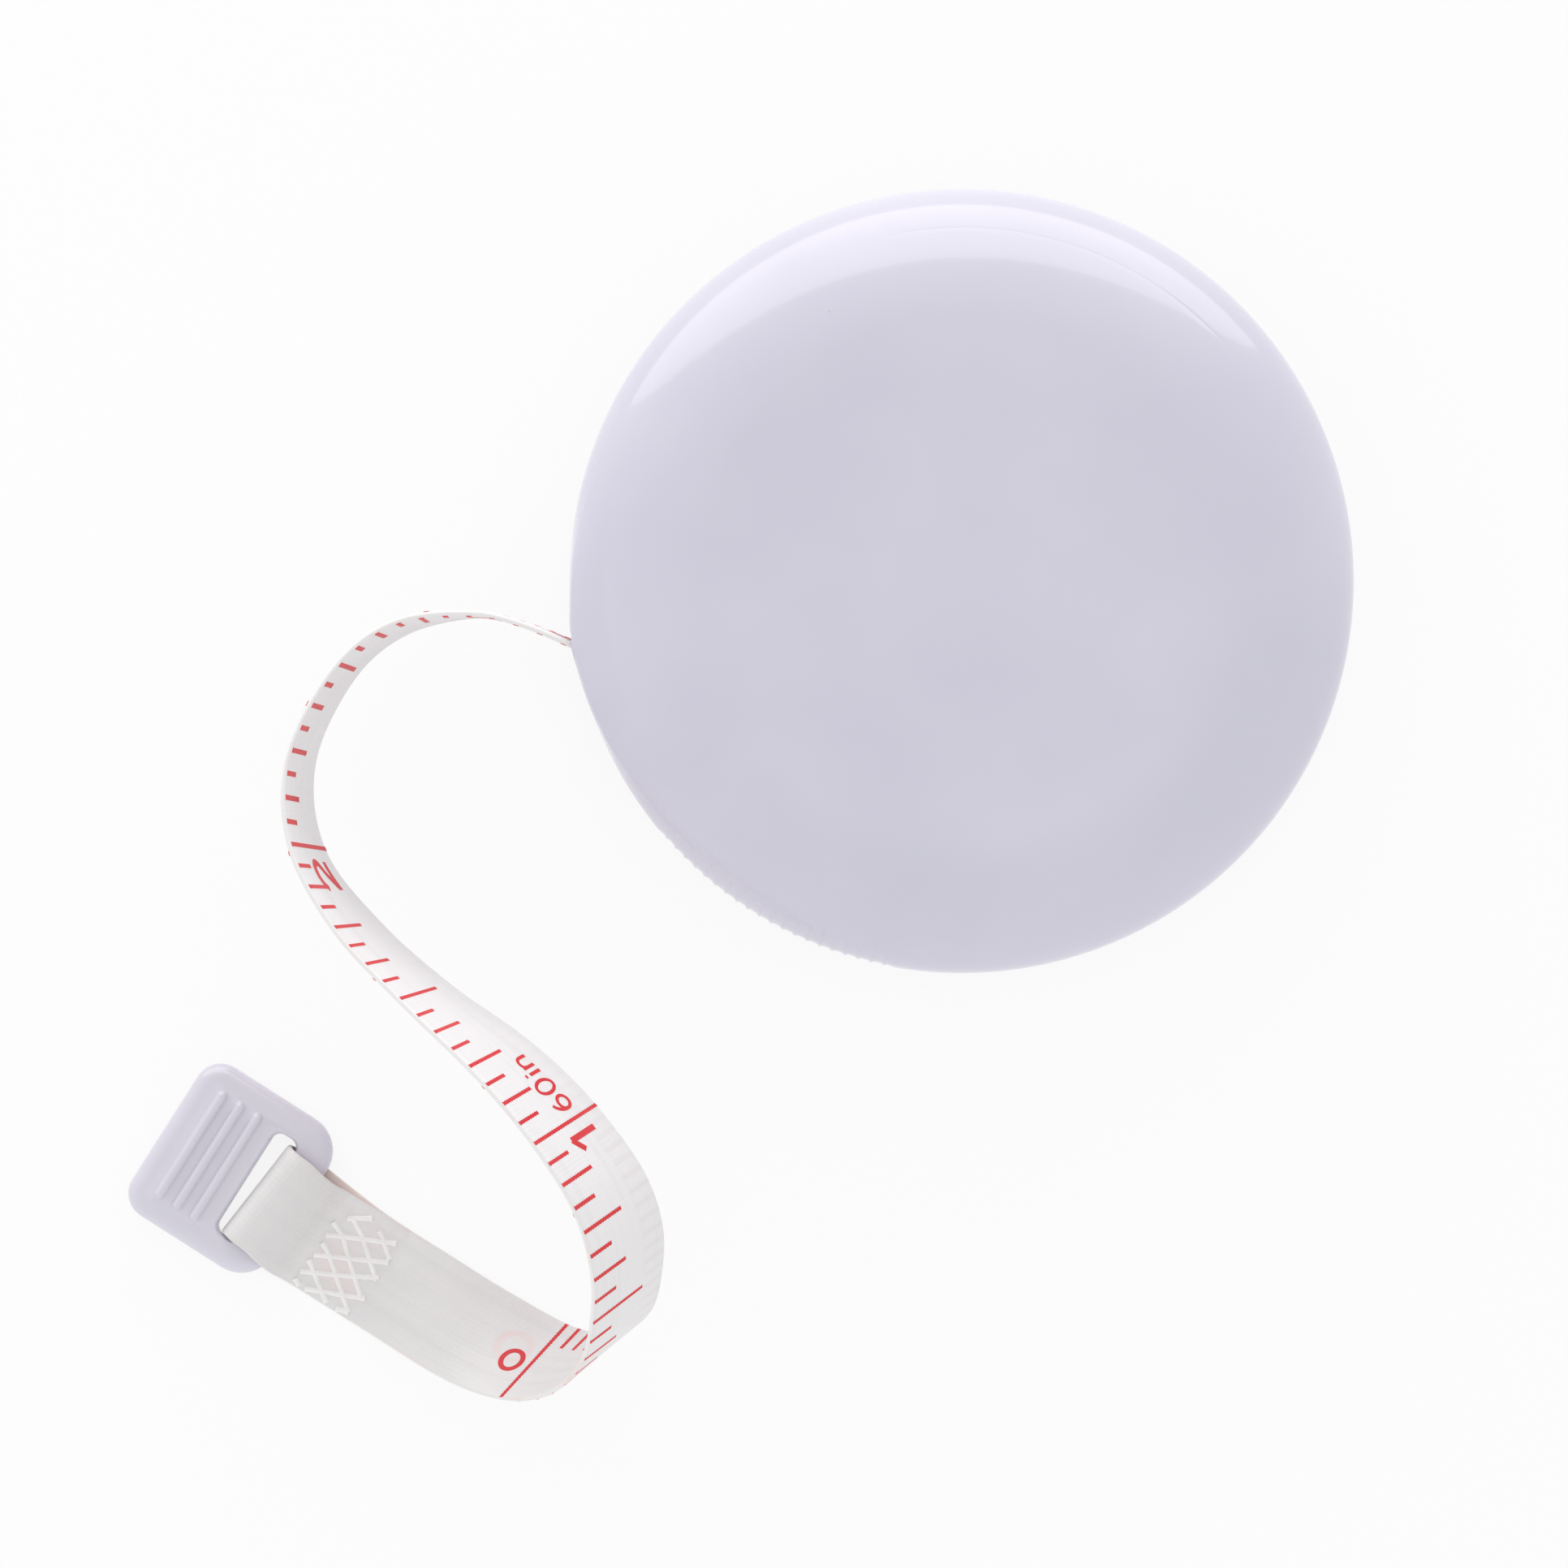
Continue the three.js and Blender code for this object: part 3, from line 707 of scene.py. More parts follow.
glyphStrokes = {
    "0": [arc(0.3, 0.5, 0.3, 0.5, 90, 450, 28)],
    "1": [[(0.0, 0.73), (0.46, 0.99)], [(0.46, 1.0), (0.46, 0.0)]],
    "2": [arc(0.3, 0.70, 0.29, 0.30, 165, -38) + [(0.02, 0.02)], [(0.0, 0.0), (0.62, 0.0)]],
    "3": [arc(0.28, 0.745, 0.26, 0.255, 150, -85), arc(0.28, 0.25, 0.30, 0.27, 88, -150)],
    "4": [[(0.46, 0.0), (0.46, 1.0)], [(0.46, 1.0), (0.0, 0.3)], [(0.0, 0.3), (0.66, 0.3)]],
    "5": [[(0.56, 1.0), (0.10, 1.0)], [(0.12, 1.0), (0.06, 0.54)], arc(0.27, 0.31, 0.30, 0.31, 130, -145)],
    "6": [arc(0.3, 0.29, 0.29, 0.29, 0, 360, 26), arc(0.58, 0.34, 0.57, 0.66, 112, 184, 10)],
    "7": [[(0.0, 1.0), (0.60, 1.0)], [(0.60, 1.0), (0.22, 0.0)]],
    "8": [arc(0.3, 0.755, 0.24, 0.245, 0, 360, 24), arc(0.3, 0.26, 0.30, 0.26, 0, 360, 26)],
    "9": [arc(0.3, 0.71, 0.29, 0.29, 0, 360, 26), arc(0.02, 0.66, 0.57, 0.66, -68, 4, 10)],
    "i": [[(0.08, 0.0), (0.08, 0.68)], [(0.08, 0.86), (0.08, 0.98)]],
    "n": [[(0.0, 0.0), (0.0, 0.7)], [(0.0, 0.4)] + arc(0.24, 0.42, 0.24, 0.25, 150, 0, 10) + [(0.48, 0.0)]],
}


# The ink is a list of points and one of faces. A strip has pairs of (station, share) points on its edges.
def addStrip(ink, pairs, side, lift, form):
    points, faces = ink
    base = len(points)
    for left, right in pairs:
        for station, share in (left, right):
            place = lookUp(station, stations, stationPlaces)
            points += [onTape(place, share, side, lift), onTape(place, share, side, -form["sink"])]
    last = base + 4 * (len(pairs) - 1)
    for a in range(base, last, 4):
        b = a + 4
        faces += [(a, b, b + 2, a + 2), (a + 1, a + 3, b + 3, b + 1)]
        faces += [(a, a + 1, b + 1, b), (a + 2, b + 2, b + 3, a + 3)]
    if pairs[0] != pairs[-1]:
        faces += [(base, base + 2, base + 3, base + 1), (last, last + 1, last + 3, last + 2)]


def addTick(ink, station, fromShare, toShare, side, form):
    length = abs(toShare - fromShare) * tapeForm["width"]
    count = max(2, round(length / form["zigzag"]))
    onArc = smoothStep((station - form["arcStation"]) / form["arcStations"])
    half = (form["stroke"] + form["arcStroke"] * onArc) / 2 / sixteenth
    pairs = []
    for i in range(count + 1):
        share = fromShare + (toShare - fromShare) * i / count
        depth = form["zigzagDepth"] / sixteenth * (1 if i % 2 else -1)
        pairs.append(((station - half - depth, share), (station + half - depth, share)))
    addStrip(ink, pairs, side, form["lift"], form)


def inShortSteps(line, step=0.3):
    fine = []
    for start, stop in zip(line, line[1:]):
        steps = max(1, round(math.dist(start, stop) / step))
        fine += [tuple(a + (b - a) * k / steps for a, b in zip(start, stop)) for k in range(steps)]
    return fine + [line[-1]]


# A stroke along a line of points, in millimetres along the tape and across it
def addStroke(ink, line, width, side, lift, form):
    line = inShortSteps(line)
    closed = math.dist(line[0], line[-1]) < 1e-6
    pairs = []
    for i, (x, y) in enumerate(line):
        before = line[i - 1] if i else (line[-2] if closed else line[0])
        after = line[i + 1] if i + 1 < len(line) else (line[1] if closed else line[-1])
        dx, dy = after[0] - before[0], after[1] - before[1]
        length = math.hypot(dx, dy)
        outX, outY = -dy / length * width / 2, dx / length * width / 2
        pairs.append((
            ((x + outX) / sixteenth, (y + outY) / tapeForm["width"]),
            ((x - outX) / sixteenth, (y - outY) / tapeForm["width"]),
        ))
    if closed:
        pairs[-1] = pairs[0]
    addStrip(ink, pairs, side, lift, form)


def addGlyph(ink, name, station, foot, height, stroke, wide, side, form):
    for number, line in enumerate(glyphStrokes[name]):
        placed = []
        for x, y in line:
            rise = y * (height - stroke) + stroke / 2
            across = foot * tapeForm["width"] + side * rise
            placed.append((station * sixteenth + x * wide * (height - stroke), across))
        addStroke(ink, placed, stroke, side, form["lift"] + form["strokeRise"] * number, form)


def tickShare(shares, number):
    return next(share for step, share in shares.items() if number % step == 0)


def makeScale(form):
    ink = ([], [])
    near, far = form["edgeShare"], 1 - form["edgeShare"]
    for station in range(form["lastStation"] + 1):
        addTick(ink, station, near, min(tickShare(form["inchShares"], station), far), -1, form)
    for millimetre in range(int(form["lastStation"] * sixteenth) + 1):
        station = millimetre / sixteenth + form["mmShift"]
        addTick(ink, station, far, max(1 - tickShare(form["mmShares"], millimetre), near), 1, form)
    for name, station, *glyph in form["inchNumerals"]:
        addGlyph(ink, name, station, *glyph, -1, form)
    for name, station in form["lengthMark"]:
        addGlyph(ink, name, station, *form["lengthGlyphs"], -1, form)
    for centimetre in range(form["cmNumerals"]):
        station = centimetre * 10 / sixteenth + form["cmShift"]
        addGlyph(ink, str(centimetre), station, *form["cmGlyphs"], 1, form)
    return addMesh("printed_scale", *ink, 60)


printedScale = makeScale(printForm)
finishPiece(printedScale, redInk, "tape", "tape_cloth")
print("scale printed")


# Heat weld that holds the folded end: low ridges in two crossing families. Each point of a ridge is how far
# along the tape from its end it lies, and how far aside from its middle.
weldForm = {
    "radius": 0.2,
    "endSwelling": 1.25,
    "sink": 0.08,
    "rowStep": 0.05,
    "rowSteps": 60,
    "ridges": [
        ((4.09, 2.11), (2.62, 2.98)),
        ((4.66, 0.42), (2.5, 1.42), (0.35, 2.39)),
        ((4.53, -1.12), (2.3, -0.05), (0.08, 1.05)),
        ((4.62, -2.55), (2.3, -1.38), (0.08, -0.16)),
        ((3.76, -3.36), (1.9, -2.6), (0.1, -1.83)),
        ((1.37, -3.42), (0.53, -3.16)),
        ((4.74, 1.42), (3.59, 0.93), (2.50, -0.05), (1.37, -1.01), (0.39, -1.87)),
        ((3.76, 2.34), (2.35, 1.50), (1.21, 0.52), (0.10, -0.40)),
        ((4.51, -0.14), (3.64, -0.62), (2.53, -1.53), (1.50, -2.35), (0.53, -3.20)),
        ((4.60, -1.57), (3.86, -2.12), (2.76, -2.93), (2.05, -3.38)),
        ((1.74, 2.56), (0.10, 1.27)),
        ((4.62, -3.12), (4.14, -3.38)),
    ],
}


def makeWeld(form):
    places = [i * form["rowStep"] for i in range(form["rowSteps"] + 1)]
    lengths = [0.0]
    for before, after in zip(places, places[1:]):
        step = Vector(rowAt(after)[:3]) - Vector(rowAt(before)[:3])
        lengths.append(lengths[-1] + step.length)
    data = bpy.data.curves.new("weld_ridges", "CURVE")
    data.dimensions = "3D"
    data.bevel_depth = form["radius"] * mm
    data.bevel_resolution = 3
    data.use_fill_caps = True
    for ridge in form["ridges"]:
        fine = inShortSteps(ridge)
        spline = data.splines.new("POLY")
        spline.points.add(len(fine) - 1)
        for number, (along, aside) in enumerate(fine):
            share = aside / tapeForm["width"] + 0.5
            middle = onTape(lookUp(along, lengths, places), share, -1, -form["sink"])
            spline.points[number].co = (*(middle * mm), 1)
            spline.points[number].radius = form["endSwelling"] if number in (0, len(fine) - 1) else 1
    return addPiece("weld_ridges", data)


weldRidges = makeWeld(weldForm)
finishPiece(weldRidges, weldCloth, "tape", "tape_cloth")
print("weld made")


# Pull tab, in its own frame: x from its middle towards the bar, y across, z up from the table
tabForm = {
    "length": 10.35,
    "width": 11.6,
    "thickness": 1.8,
    "cornerRadius": 1.8,
    "shoulderRadius": 2.5,
    "edgeRounding": 0.8,
    "edgeReach": 1.0,
    "barReach": 0.22,
    "freeReach": 0.1,
    "sideReach": 0.06,
    "heading": -32.5,
    "centre": (-48.5, -39.05),
    "slotStart": 6.33,
    "slotWidth": 1.77,
    "slotLength": 7.8,
    "slotRadius": 0.62,
    "slotFlare": 0.2,
    "barThickness": 1.0,
    "ribLength": 8.4,
    "ribCount": 3,
    "ribWidth": 0.70,
    "ribHeight": 0.36,
    "ribPitch": 1.376,
    "ribStart": 1.68,
    "ribSection": (
        (-1, -0.08), (0.0, -0.06), (0.1, -0.01), (0.3, 0.02), (0.55, 0.06),
        (0.75, 0.11), (0.9, 0.17), (0.98, 0.23), (1.0, 0.29),
    ),
}


def roundedLoop(lowX, highX, halfY, lowRadius, highRadius, inset, height, steps=10):
    low, high = max(0.01, lowRadius - inset), max(0.01, highRadius - inset)
    left, right, side = lowX + inset, highX - inset, halfY - inset
    flat = arc(right - high, -side + high, high, high, -90, 0, steps)
    flat += arc(right - high, side - high, high, high, 0, 90, steps)
    flat += arc(left + low, side - low, low, low, 90, 180, steps)
    flat += arc(left + low, -side + low, low, low, 180, 270, steps)
    cosine, sine = wave(tabForm["heading"])
    centreX, centreY = tabForm["centre"]
    return [(centreX + x * cosine - y * sine, centreY + x * sine + y * cosine, height) for x, y in flat]


# Heights with insets that round off both faces of a plate
def pillow(bottom, top, rounding, reach, steps=8):
    levels = []
    for i in range(steps + 1):
        cosine, sine = wave(90 * i / steps)
        levels.append((bottom + rounding * (1 - cosine), reach * (1 - sine)))
    for i in range(steps + 1):
        cosine, sine = wave(90 * i / steps)
        levels.append((top - rounding * (1 - sine), reach * (1 - cosine)))
    return levels


def makeTab(form):
    end = form["length"] / 2
    side = form["width"] / 2
    thick = form["thickness"]
    loops = []
    for height, inset in pillow(0, thick, form["edgeRounding"], form["edgeReach"]):
        loops.append(roundedLoop(
            -end - form["freeReach"], end + form["barReach"], side + form["sideReach"],
            form["cornerRadius"], form["shoulderRadius"], inset, height,
        ))
    tab = stacked("pull_tab", loops)
    slotLow = form["slotStart"] - end
    slotHigh = slotLow + form["slotWidth"]
    slotSide = form["slotLength"] / 2
    flare = form["slotFlare"]
    loops = []
    for height, widen in ((-0.5, flare), (0, flare), (0.08, 0.12), (0.25, 0.0), (thick - 0.25, 0.0),
                          (thick - 0.08, 0.1), (thick, flare), (thick + 0.5, flare)):
        loops.append(roundedLoop(
            slotLow, slotHigh, slotSide, form["slotRadius"], form["slotRadius"], -widen, height,
        ))
    carve(tab, stacked("slot_tool", loops))
    # Room for the folded cloth under the bar
    loops = []
    for height in (-1, thick - form["barThickness"]):
        loops.append(roundedLoop(slotHigh - 0.6, end + 2, slotSide, 0.3, 0.3, 0, height))
    carve(tab, stacked("pocket_tool", loops))
    for number in range(form["ribCount"]):
        half = form["ribWidth"] / 2
        middle = form["ribStart"] + half + number * form["ribPitch"] - end
        loops = []
        for rise, inset in form["ribSection"]:
            loops.append(roundedLoop(
                middle - half, middle + half, form["ribLength"] / 2, half, half, inset,
                thick + rise * form["ribHeight"], 6,
            ))
        carve(tab, stacked("rib_tool", loops), "UNION")
    shadeByAngle(tab.data, 38)
    return tab


pullTab = makeTab(tabForm)
finishPiece(pullTab, tabPlastic, "tab", "tab_plastic", "end_tab")
print("tab made")


# Case: two turned shells with an oval edge, a tongue in the seam, a boss for the arbor and a raised lip
# on the plain half where the tape leaves
caseForm = {
    "radius": 25.75,
    "thickness": 13.0,
    "wall": 1.2,
    "rimWidth": 9.0,
    "rimHeight": 5.0,
    "rimSteps": 36,
    "plainStep": 1.2,
    "mouthStep": 0.6,
    "gripStep": 0.2,
    "seam": 6.5,
    "seamGap": 0.08,
    "seamRound": 0.12,
    "ceiling": 11.8,
    "bossBottom": 10.2,
    "bossBore": 2.907,
    "bossRadius": 4.507,
    "tongueRadius": 25.0,
    "tongueDepth": 0.85,
    "creaseAngle": 46.9,
    "creaseDepth": 0.009,
    "creaseFrom": 38.0,
    "creaseTo": 108.0,
    "creaseFade": 12,
    "gripStart": 219.0,
    "gripStop": 260.5,
    "gripCount": 21,
    "gripDepth": 0.11,
    "gripFade": 2.0,
    "gripTop": 10.7,
    "gripTopFade": 1.4,
    "mouthAngle": 189.7,
    "mouthWidth": 1.8,
    "mouthBottom": 2.55,
    "mouthTop": 10.45,
    "mouthFlare": ((16.0, 0.0), (20.2, 0.0), (20.9, 0.12), (21.6, 0.45), (24.0, 0.9)),
    "lipHeight": 10.85,
    "lipStart": 23.4,
    "lipCorner": 0.35,
    "lipRise": 0.25,
    "lipBefore": 10.0,
    "lipAfter": 8.0,
    "lipBlendBefore": (26, 23),
    "lipBlendAfter": (27, 22),
    "lipEnd": 0.03,
    "floor": 1.5,
    "dishDepth": 0.5,
    "dishRadius": 12.5,
    "dishSlope": 0.5,
    "buttonHole": 7.9,
}


def caseAngles(form):
    angles = []
    turn = 0.0
    while turn < 359.99:
        angles.append(turn)
        inGrip = form["gripStart"] - 1 <= turn < form["gripStop"] + 1
        nearMouth = abs(turn - form["mouthAngle"]) < 18
        turn += form["gripStep"] if inGrip else form["mouthStep"] if nearMouth else form["plainStep"]
    return angles


# Grip ribs: how far the side steps in between them at this angle
def gripCut(form, angle):
    if not form["gripStart"] <= angle <= form["gripStop"]:
        return 0.0
    pitch = (form["gripStop"] - form["gripStart"]) / form["gripCount"]
    crest = 0.5 + 0.5 * math.cos(2 * math.pi * (angle - form["gripStart"]) / pitch)
    depth = form["gripDepth"] * smoothStep((angle - form["gripStart"]) / form["gripFade"])
    depth *= smoothStep((form["gripStop"] - angle) / form["gripFade"])
    return depth * (1 - crest ** 4)


# How much of the lip's own section the rim has at this angle, and how far it stands out
def lipShare(form, angle):
    away = angle - form["mouthAngle"]
    reach, fade = form["lipBlendBefore"] if away < 0 else form["lipBlendAfter"]
    return smoothStep((reach - abs(away)) / fade)


def lipOut(form, angle):
    away = angle - form["mouthAngle"]
    base, corner = form["radius"], form["radius"] + form["lipRise"]
    if -form["lipBefore"] < away <= 0:
        return chordRadius(base, corner, form["lipBefore"], away + form["lipBefore"]) - base
    if 0 < away < form["lipAfter"]:
        return chordRadius(corner, base + form["lipEnd"], form["lipAfter"], away) - base
    return form["lipEnd"] * smoothStep((form["lipAfter"] + 6 - away) / 6) if away > 0 else 0.0


# The distance of a straight line from the axis, between two ends this many degrees apart
def chordRadius(start, stop, span, away):
    whole, part = math.radians(span), math.radians(away)
    return start * stop * math.sin(whole) / (stop * math.sin(whole - part) + start * math.sin(part))


# The outside of the rim from the side up to the flat face, as distances from the axis and heights
def rimPoints(form, angle):
    inner = form["radius"] - form["rimWidth"]
    low = form["thickness"] - form["rimHeight"]
    lip = lipShare(form, angle)
    out = lipOut(form, angle)
    cut = gripCut(form, angle)
    startTurn = math.degrees(math.acos((form["lipStart"] - inner) / form["rimWidth"]))
    wall = form["radius"] + out
    corner = form["lipCorner"]
    cornerLow = form["lipHeight"] - corner - 0.1
    lipLine = [(wall, low), (wall, cornerLow)]
    lipLine += arc(wall - corner, cornerLow, corner, corner, 20, 80, 3)
    lipLine.append((form["lipStart"], low + form["rimHeight"] * wave(startTurn)[1]))
    points = []
    crease = form["creaseAngle"]
    dent = form["creaseDepth"] * smoothStep((angle - form["creaseFrom"]) / form["creaseFade"])
    dent *= smoothStep((form["creaseTo"] - angle) / form["creaseFade"])
    turns = [90 * i / form["rimSteps"] for i in range(form["rimSteps"] + 1)]
    turns = [turn for turn in turns if abs(turn - crease) > 0.8]
    turns = sorted(turns + [crease - 0.5, crease - 0.2, crease + 0.2, crease + 0.5])
    for turn in turns:
        cosine, sine = wave(turn)
        radius = inner + form["rimWidth"] * cosine
        height = low + form["rimHeight"] * sine
        if abs(turn - crease) < 0.3:
            height -= dent
        radius -= cut * smoothStep((form["gripTop"] - height) / form["gripTopFade"])
        if turn < startTurn and lip > 0:
            x, y = alongLine(lipLine, turn / startTurn)
            radius += lip * (x - radius)
            height += lip * (y - height)
        else:
            radius += out * smoothStep((radius - 24.5) / 1.2)
        points.append((radius, height))
    return points


def alongLine(line, share):
    lengths = [math.dist(a, b) for a, b in zip(line, line[1:])]
    rest = share * sum(lengths)
    for (a, b), length in zip(zip(line, line[1:]), lengths):
        if rest <= length:
            return tuple(p + (q - p) * rest / length for p, q in zip(a, b))
        rest -= length
    return line[-1]


def innerRim(form):
    wide, high = form["rimWidth"] - form["wall"], form["rimHeight"] - form["wall"]
    return arc(form["radius"] - form["rimWidth"], 0, wide, high, 0, 90, 12)


# The rounded edge of a shell from the seam outwards, up or down
def seamEdge(form, side, seam, way):
    wide, narrow = form["seamRound"], form["seamRound"] / 4
    return [(side - wide, seam), (side - narrow, seam + way * narrow), (side, seam + way * wide)]


def plainShellProfile(form, angle):
    bottom = form["seam"] + form["seamGap"] / 2
    tongue = bottom - form["tongueDepth"]
    low = form["thickness"] - form["rimHeight"]
    bore, boss = form["bossBore"], form["bossRadius"]
    ceiling, bossEnd = form["ceiling"], form["bossBottom"]
    outer = rimPoints(form, angle)
    points = [(0, ceiling), (bore, ceiling), (bore, bossEnd), (boss, bossEnd), (boss, ceiling)]
    points += [(radius, low + height) for radius, height in innerRim(form)[::-1]]
    points += [
        (form["radius"] - form["wall"], tongue),
        (form["tongueRadius"], tongue),
        (form["tongueRadius"], bottom),
    ]
    points += seamEdge(form, outer[0][0], bottom, 1) + outer
    points += [(form["radius"] - form["rimWidth"] - 4, form["thickness"]), (0, form["thickness"])]
    return points


def buttonShellProfile(form, angle):
    top = form["seam"] - form["seamGap"] / 2
    rebate = form["seam"] - form["tongueDepth"] - 0.2
    hole, dish, dishRadius = form["buttonHole"], form["dishDepth"], form["dishRadius"]
    slope = dishRadius + form["dishSlope"]
    outer = [(radius, form["thickness"] - height) for radius, height in rimPoints(form, angle)]
    points = [
        (hole, dish + 0.25),
        (hole + 0.07, dish + 0.07),
        (hole + 0.25, dish),
        (dishRadius - 0.25, dish),
        (dishRadius + 0.05, dish - 0.06),
        (slope - 0.05, 0.05),
        (slope + 0.25, 0.0),
    ]
    points += outer[::-1] + seamEdge(form, outer[0][0], top, -1)[::-1]
    points += [
        (form["tongueRadius"] + 0.2, top),
        (form["tongueRadius"] + 0.2, rebate),
        (form["radius"] - form["wall"], rebate),
    ]
    points += [(radius, form["rimHeight"] - height) for radius, height in innerRim(form)]
    points += [
        (slope + form["wall"], form["wall"]),
        (dishRadius + form["wall"], form["floor"]),
        (hole, form["floor"]),
    ]
    return points


# The slot that the tape runs through widens a little where it opens
def slotTool(form):
    headX, headY = wave(tapeForm["tailHeading"])
    startX, startY = tapeForm["tailStart"]
    outline = []
    for corner in arc(0, 0, 1, 1, 0, 360, 24)[:-1]:
        outline.append([math.copysign(abs(reach) ** 0.25, reach) for reach in corner])
    loops = []
    for distance, widen in form["mouthFlare"]:
        half = form["mouthWidth"] / 2 + widen
        low, high = form["mouthBottom"] - widen * 0.4, form["mouthTop"] + widen * 0.4
        loops.append([(
            startX + distance * headX - side * half * headY,
            startY + distance * headY + side * half * headX,
            (low + high) / 2 + height * (high - low) / 2,
        ) for side, height in outline])
    return stacked("mouth_tool", loops)


def makeShell(name, profileAt, form):
    shell = turned(name, lambda turn: profileAt(form, turn), caseAngles(form))
    carve(shell, slotTool(form))
    shadeByAngle(shell.data, 30)
    return shell


plainShell = makeShell("plain_shell", plainShellProfile, caseForm)
finishPiece(plainShell, casePlastic, "case", "case_plastic", "case_back")
buttonShell = makeShell("button_shell", buttonShellProfile, caseForm)
finishPiece(buttonShell, casePlastic, "case", "case_plastic", "case_front")
print("case made")


# Release button with its neck: a shallow dish for the thumb in its face
buttonForm = {
    "radius": 7.5,
    "bottom": 0.2,
    "top": 1.2,
    "edge": 0.35,
    "thumbDish": 0.22,
    "neckRadius": 5.5,
    "neckBore": 3.407,
    "headRadius": 6.8,
    "headBottom": 4.1,
    "headTop": 4.5,
}


def makeButton(form):
    radius, top, edge = form["radius"], form["top"], form["edge"]
    neck, bore, head = form["neckRadius"], form["neckBore"], form["headRadius"]
    profile = []
    for i in range(9):
        share = i / 8
        height = form["bottom"] + form["thumbDish"] * (1 - share ** 2) ** 1.5
        profile.append(((radius - 1.6) * share, height))
    profile += arc(radius - edge, form["bottom"] + edge, edge, edge, -90, 0, 6)
    profile += [
        (radius, top - 0.1),
        (radius - 0.1, top),
        (neck + 0.15, top),
        (neck, top + 0.15),
        (neck, form["headBottom"]),
        (head - 0.1, form["headBottom"]),
        (head, form["headBottom"] + 0.1),
        (head - 0.1, form["headTop"]),
        (bore, form["headTop"]),
        (bore, top),
        (0, top),
    ]
    return turned("release_button", lambda turn: profile, [3.0 * i for i in range(120)])


releaseButton = makeButton(buttonForm)
finishPiece(releaseButton, casePlastic, "button", "case_plastic", "push_button")


# Wound tape: one long strip in a spiral between the flanges
woundForm = {
    "inner": 9.3,
    "outer": 14.9,
    "turns": 19,
    "startAngle": 244.0,
    "thickness": 0.24,
    "bottom": 2.85,
    "top": 10.15,
    "stepsPerTurn": 72,
}


# A section of (distance from the axis, height) points, swept round the axis
def coiled(name, form, sectionAt):
    count = form["turns"] * form["stepsPerTurn"]
    loops = []
    for i in range(count + 1):
        share = i / count
        cosine, sine = wave(form["startAngle"] + 360 * form["turns"] * share)
        section = sectionAt(form, share)
        loops.append([(distance * cosine, distance * sine, height) for distance, height in section])
    return stacked(name, loops)


def woundSection(form, share):
    half = form["thickness"] / 2
    radius = form["outer"] - half + (form["inner"] - form["outer"] + 2 * half) * share
    bottom, top = form["bottom"], form["top"]
    return (radius - half, bottom), (radius + half, bottom), (radius + half, top), (radius - half, top)


woundTape = coiled("wound_tape", woundForm, woundSection)
finishPiece(woundTape, woundCloth, "reel", "tape_cloth", "tape_coil")


# Return spring under the button, which closes up as the button goes in
springForm = {
    "radius": 2.307,
    "wire": 0.35,
    "bottom": 1.85,
    "top": 4.35,
    "turns": 4,
    "startAngle": 0,
    "sides": 10,
    "stepsPerTurn": 40,
}


def springSection(form, share):
    half = form["wire"] / 2
    height = form["bottom"] + (form["top"] - form["bottom"]) * share
    return arc(form["radius"], height, half, half, 0, 360, form["sides"])[:-1]


returnSpring = coiled("return_spring", springForm, springSection)
finishPiece(returnSpring, springSteel, "case", "spring_steel", "button_spring")
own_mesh(returnSpring)
print("button, wound tape and spring made")


# The parts inside keep their solids and get their finishes
insideFinishes = {
    "spring_arbor": reelPlastic,
    "reel_drum": reelPlastic,
    "reel_flange": reelPlastic,
    "spring_plate": springSteel,
    "mainspring": springSteel,
    "tape_pin": springSteel,
    "brake_ring": brakeRubber,
}
for node, material in insideFinishes.items():
    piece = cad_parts[node]
    piece.data.materials.clear()
    piece.data.materials.append(material)
print("inside parts finished")


# Floor and lights, in metres
floorLook = {"size": 8.0, "colour": (0.94, 0.94, 0.94), "seenShare": 0.85}
lampLook = {
    "world": 0.86,
    "warmth": (1.0, 0.965, 0.945),
    "window": {"place": (-0.085, 0.35, 0.0), "aim": (-0.085, 0, 0.0), "size": (1.04, 0.93), "radiance": 1.5},
    "glow": {"place": (-0.13, 0.36, 0.065), "aim": (-0.13, 0, 0.065), "size": (0.8, 0.12), "radiance": 3.6},
    "fill": {"place": (-0.2, -0.3, 0.065), "aim": (0, 0, 0.065), "size": (0.7, 0.12), "radiance": 0.9},
}


def seenFactor(material):
    path = addNode(material, "ShaderNodeLightPath")
    first = mathNode(material, "MAXIMUM", path.outputs["Is Camera Ray"], path.outputs["Is Glossy Ray"])
    return mathNode(material, "MAXIMUM", first, path.outputs["Is Transmission Ray"])


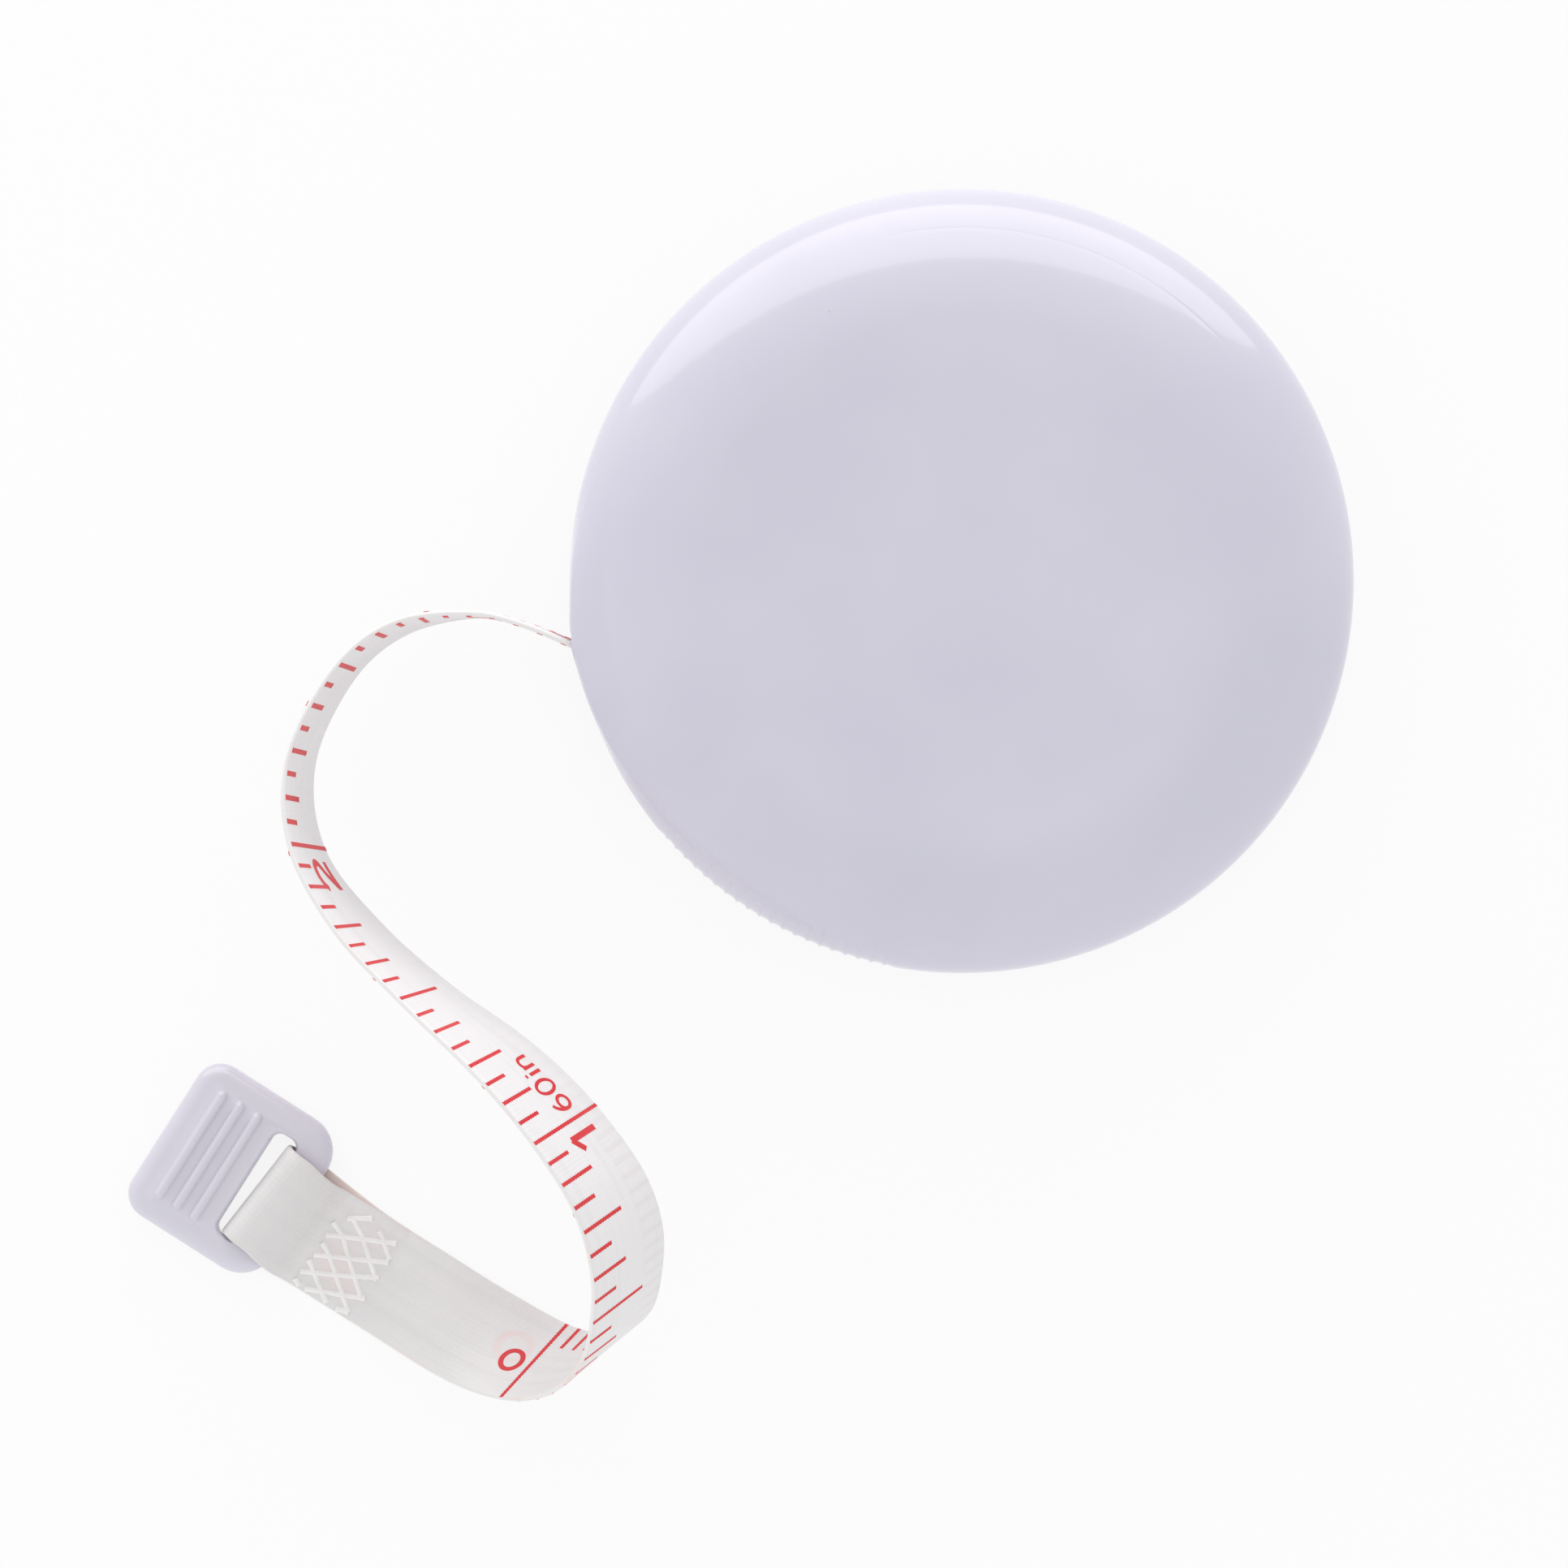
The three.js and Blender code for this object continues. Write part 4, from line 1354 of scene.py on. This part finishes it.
def makeFloor(look):
    half = look["size"] / 2
    corners = [(-half, -half, 0), (half, -half, 0), (half, half, 0), (-half, half, 0)]
    mesh = bpy.data.meshes.new("floor")
    mesh.from_pydata(corners, [], [(0, 1, 2, 3)])
    floor = addPiece("floor", mesh)
    material = bpy.data.materials.new("white_floor")
    material.use_nodes = True
    nodes = material.node_tree.nodes
    nodes.clear()
    cloth = addNode(material, "ShaderNodeBsdfDiffuse")
    cloth.inputs["Color"].default_value = (*look["colour"], 1)
    glow = addNode(material, "ShaderNodeEmission")
    mixer = addNode(material, "ShaderNodeMixShader")
    output = addNode(material, "ShaderNodeOutputMaterial")
    join(material, times(material, seenFactor(material), look["seenShare"]), mixer.inputs[0])
    join(material, cloth.outputs[0], mixer.inputs[1])
    join(material, glow.outputs[0], mixer.inputs[2])
    join(material, mixer.outputs[0], output.inputs[0])
    mesh.materials.append(material)


def makeWorld(strength):
    world = bpy.data.worlds.new("studio")
    world.use_nodes = True
    scene.world = world
    background = world.node_tree.nodes["Background"]
    background.inputs["Color"].default_value = (1, 1, 1, 1)
    level = mathNode(world, "MULTIPLY_ADD", seenFactor(world), 1 - strength, strength)
    world.node_tree.links.new(level, background.inputs["Strength"])


def makePanel(name, look, shape):
    light = bpy.data.lights.new(name, "AREA")
    light.shape = shape
    light.size, light.size_y = look["size"]
    area = look["size"][0] * look["size"][1] * (math.pi / 4 if shape == "ELLIPSE" else 1)
    light.energy = look["radiance"] * math.pi * area
    light.color = lampLook["warmth"]
    panel = addPiece(name, light)
    panel.location = look["place"]
    direction = Vector(look["aim"]) - Vector(look["place"])
    panel.rotation_euler = direction.to_track_quat("-Z", "Y").to_euler()
    panel.visible_camera = False
    return panel


makeFloor(floorLook)
makeWorld(lampLook["world"])
makePanel("window_panel", lampLook["window"], "ELLIPSE").visible_diffuse = False
makePanel("glow_panel", lampLook["glow"], "RECTANGLE").visible_glossy = False
makePanel("fill_panel", lampLook["fill"], "RECTANGLE").visible_glossy = False
scene.view_settings.view_transform = "Standard"
print("floor and lights made")
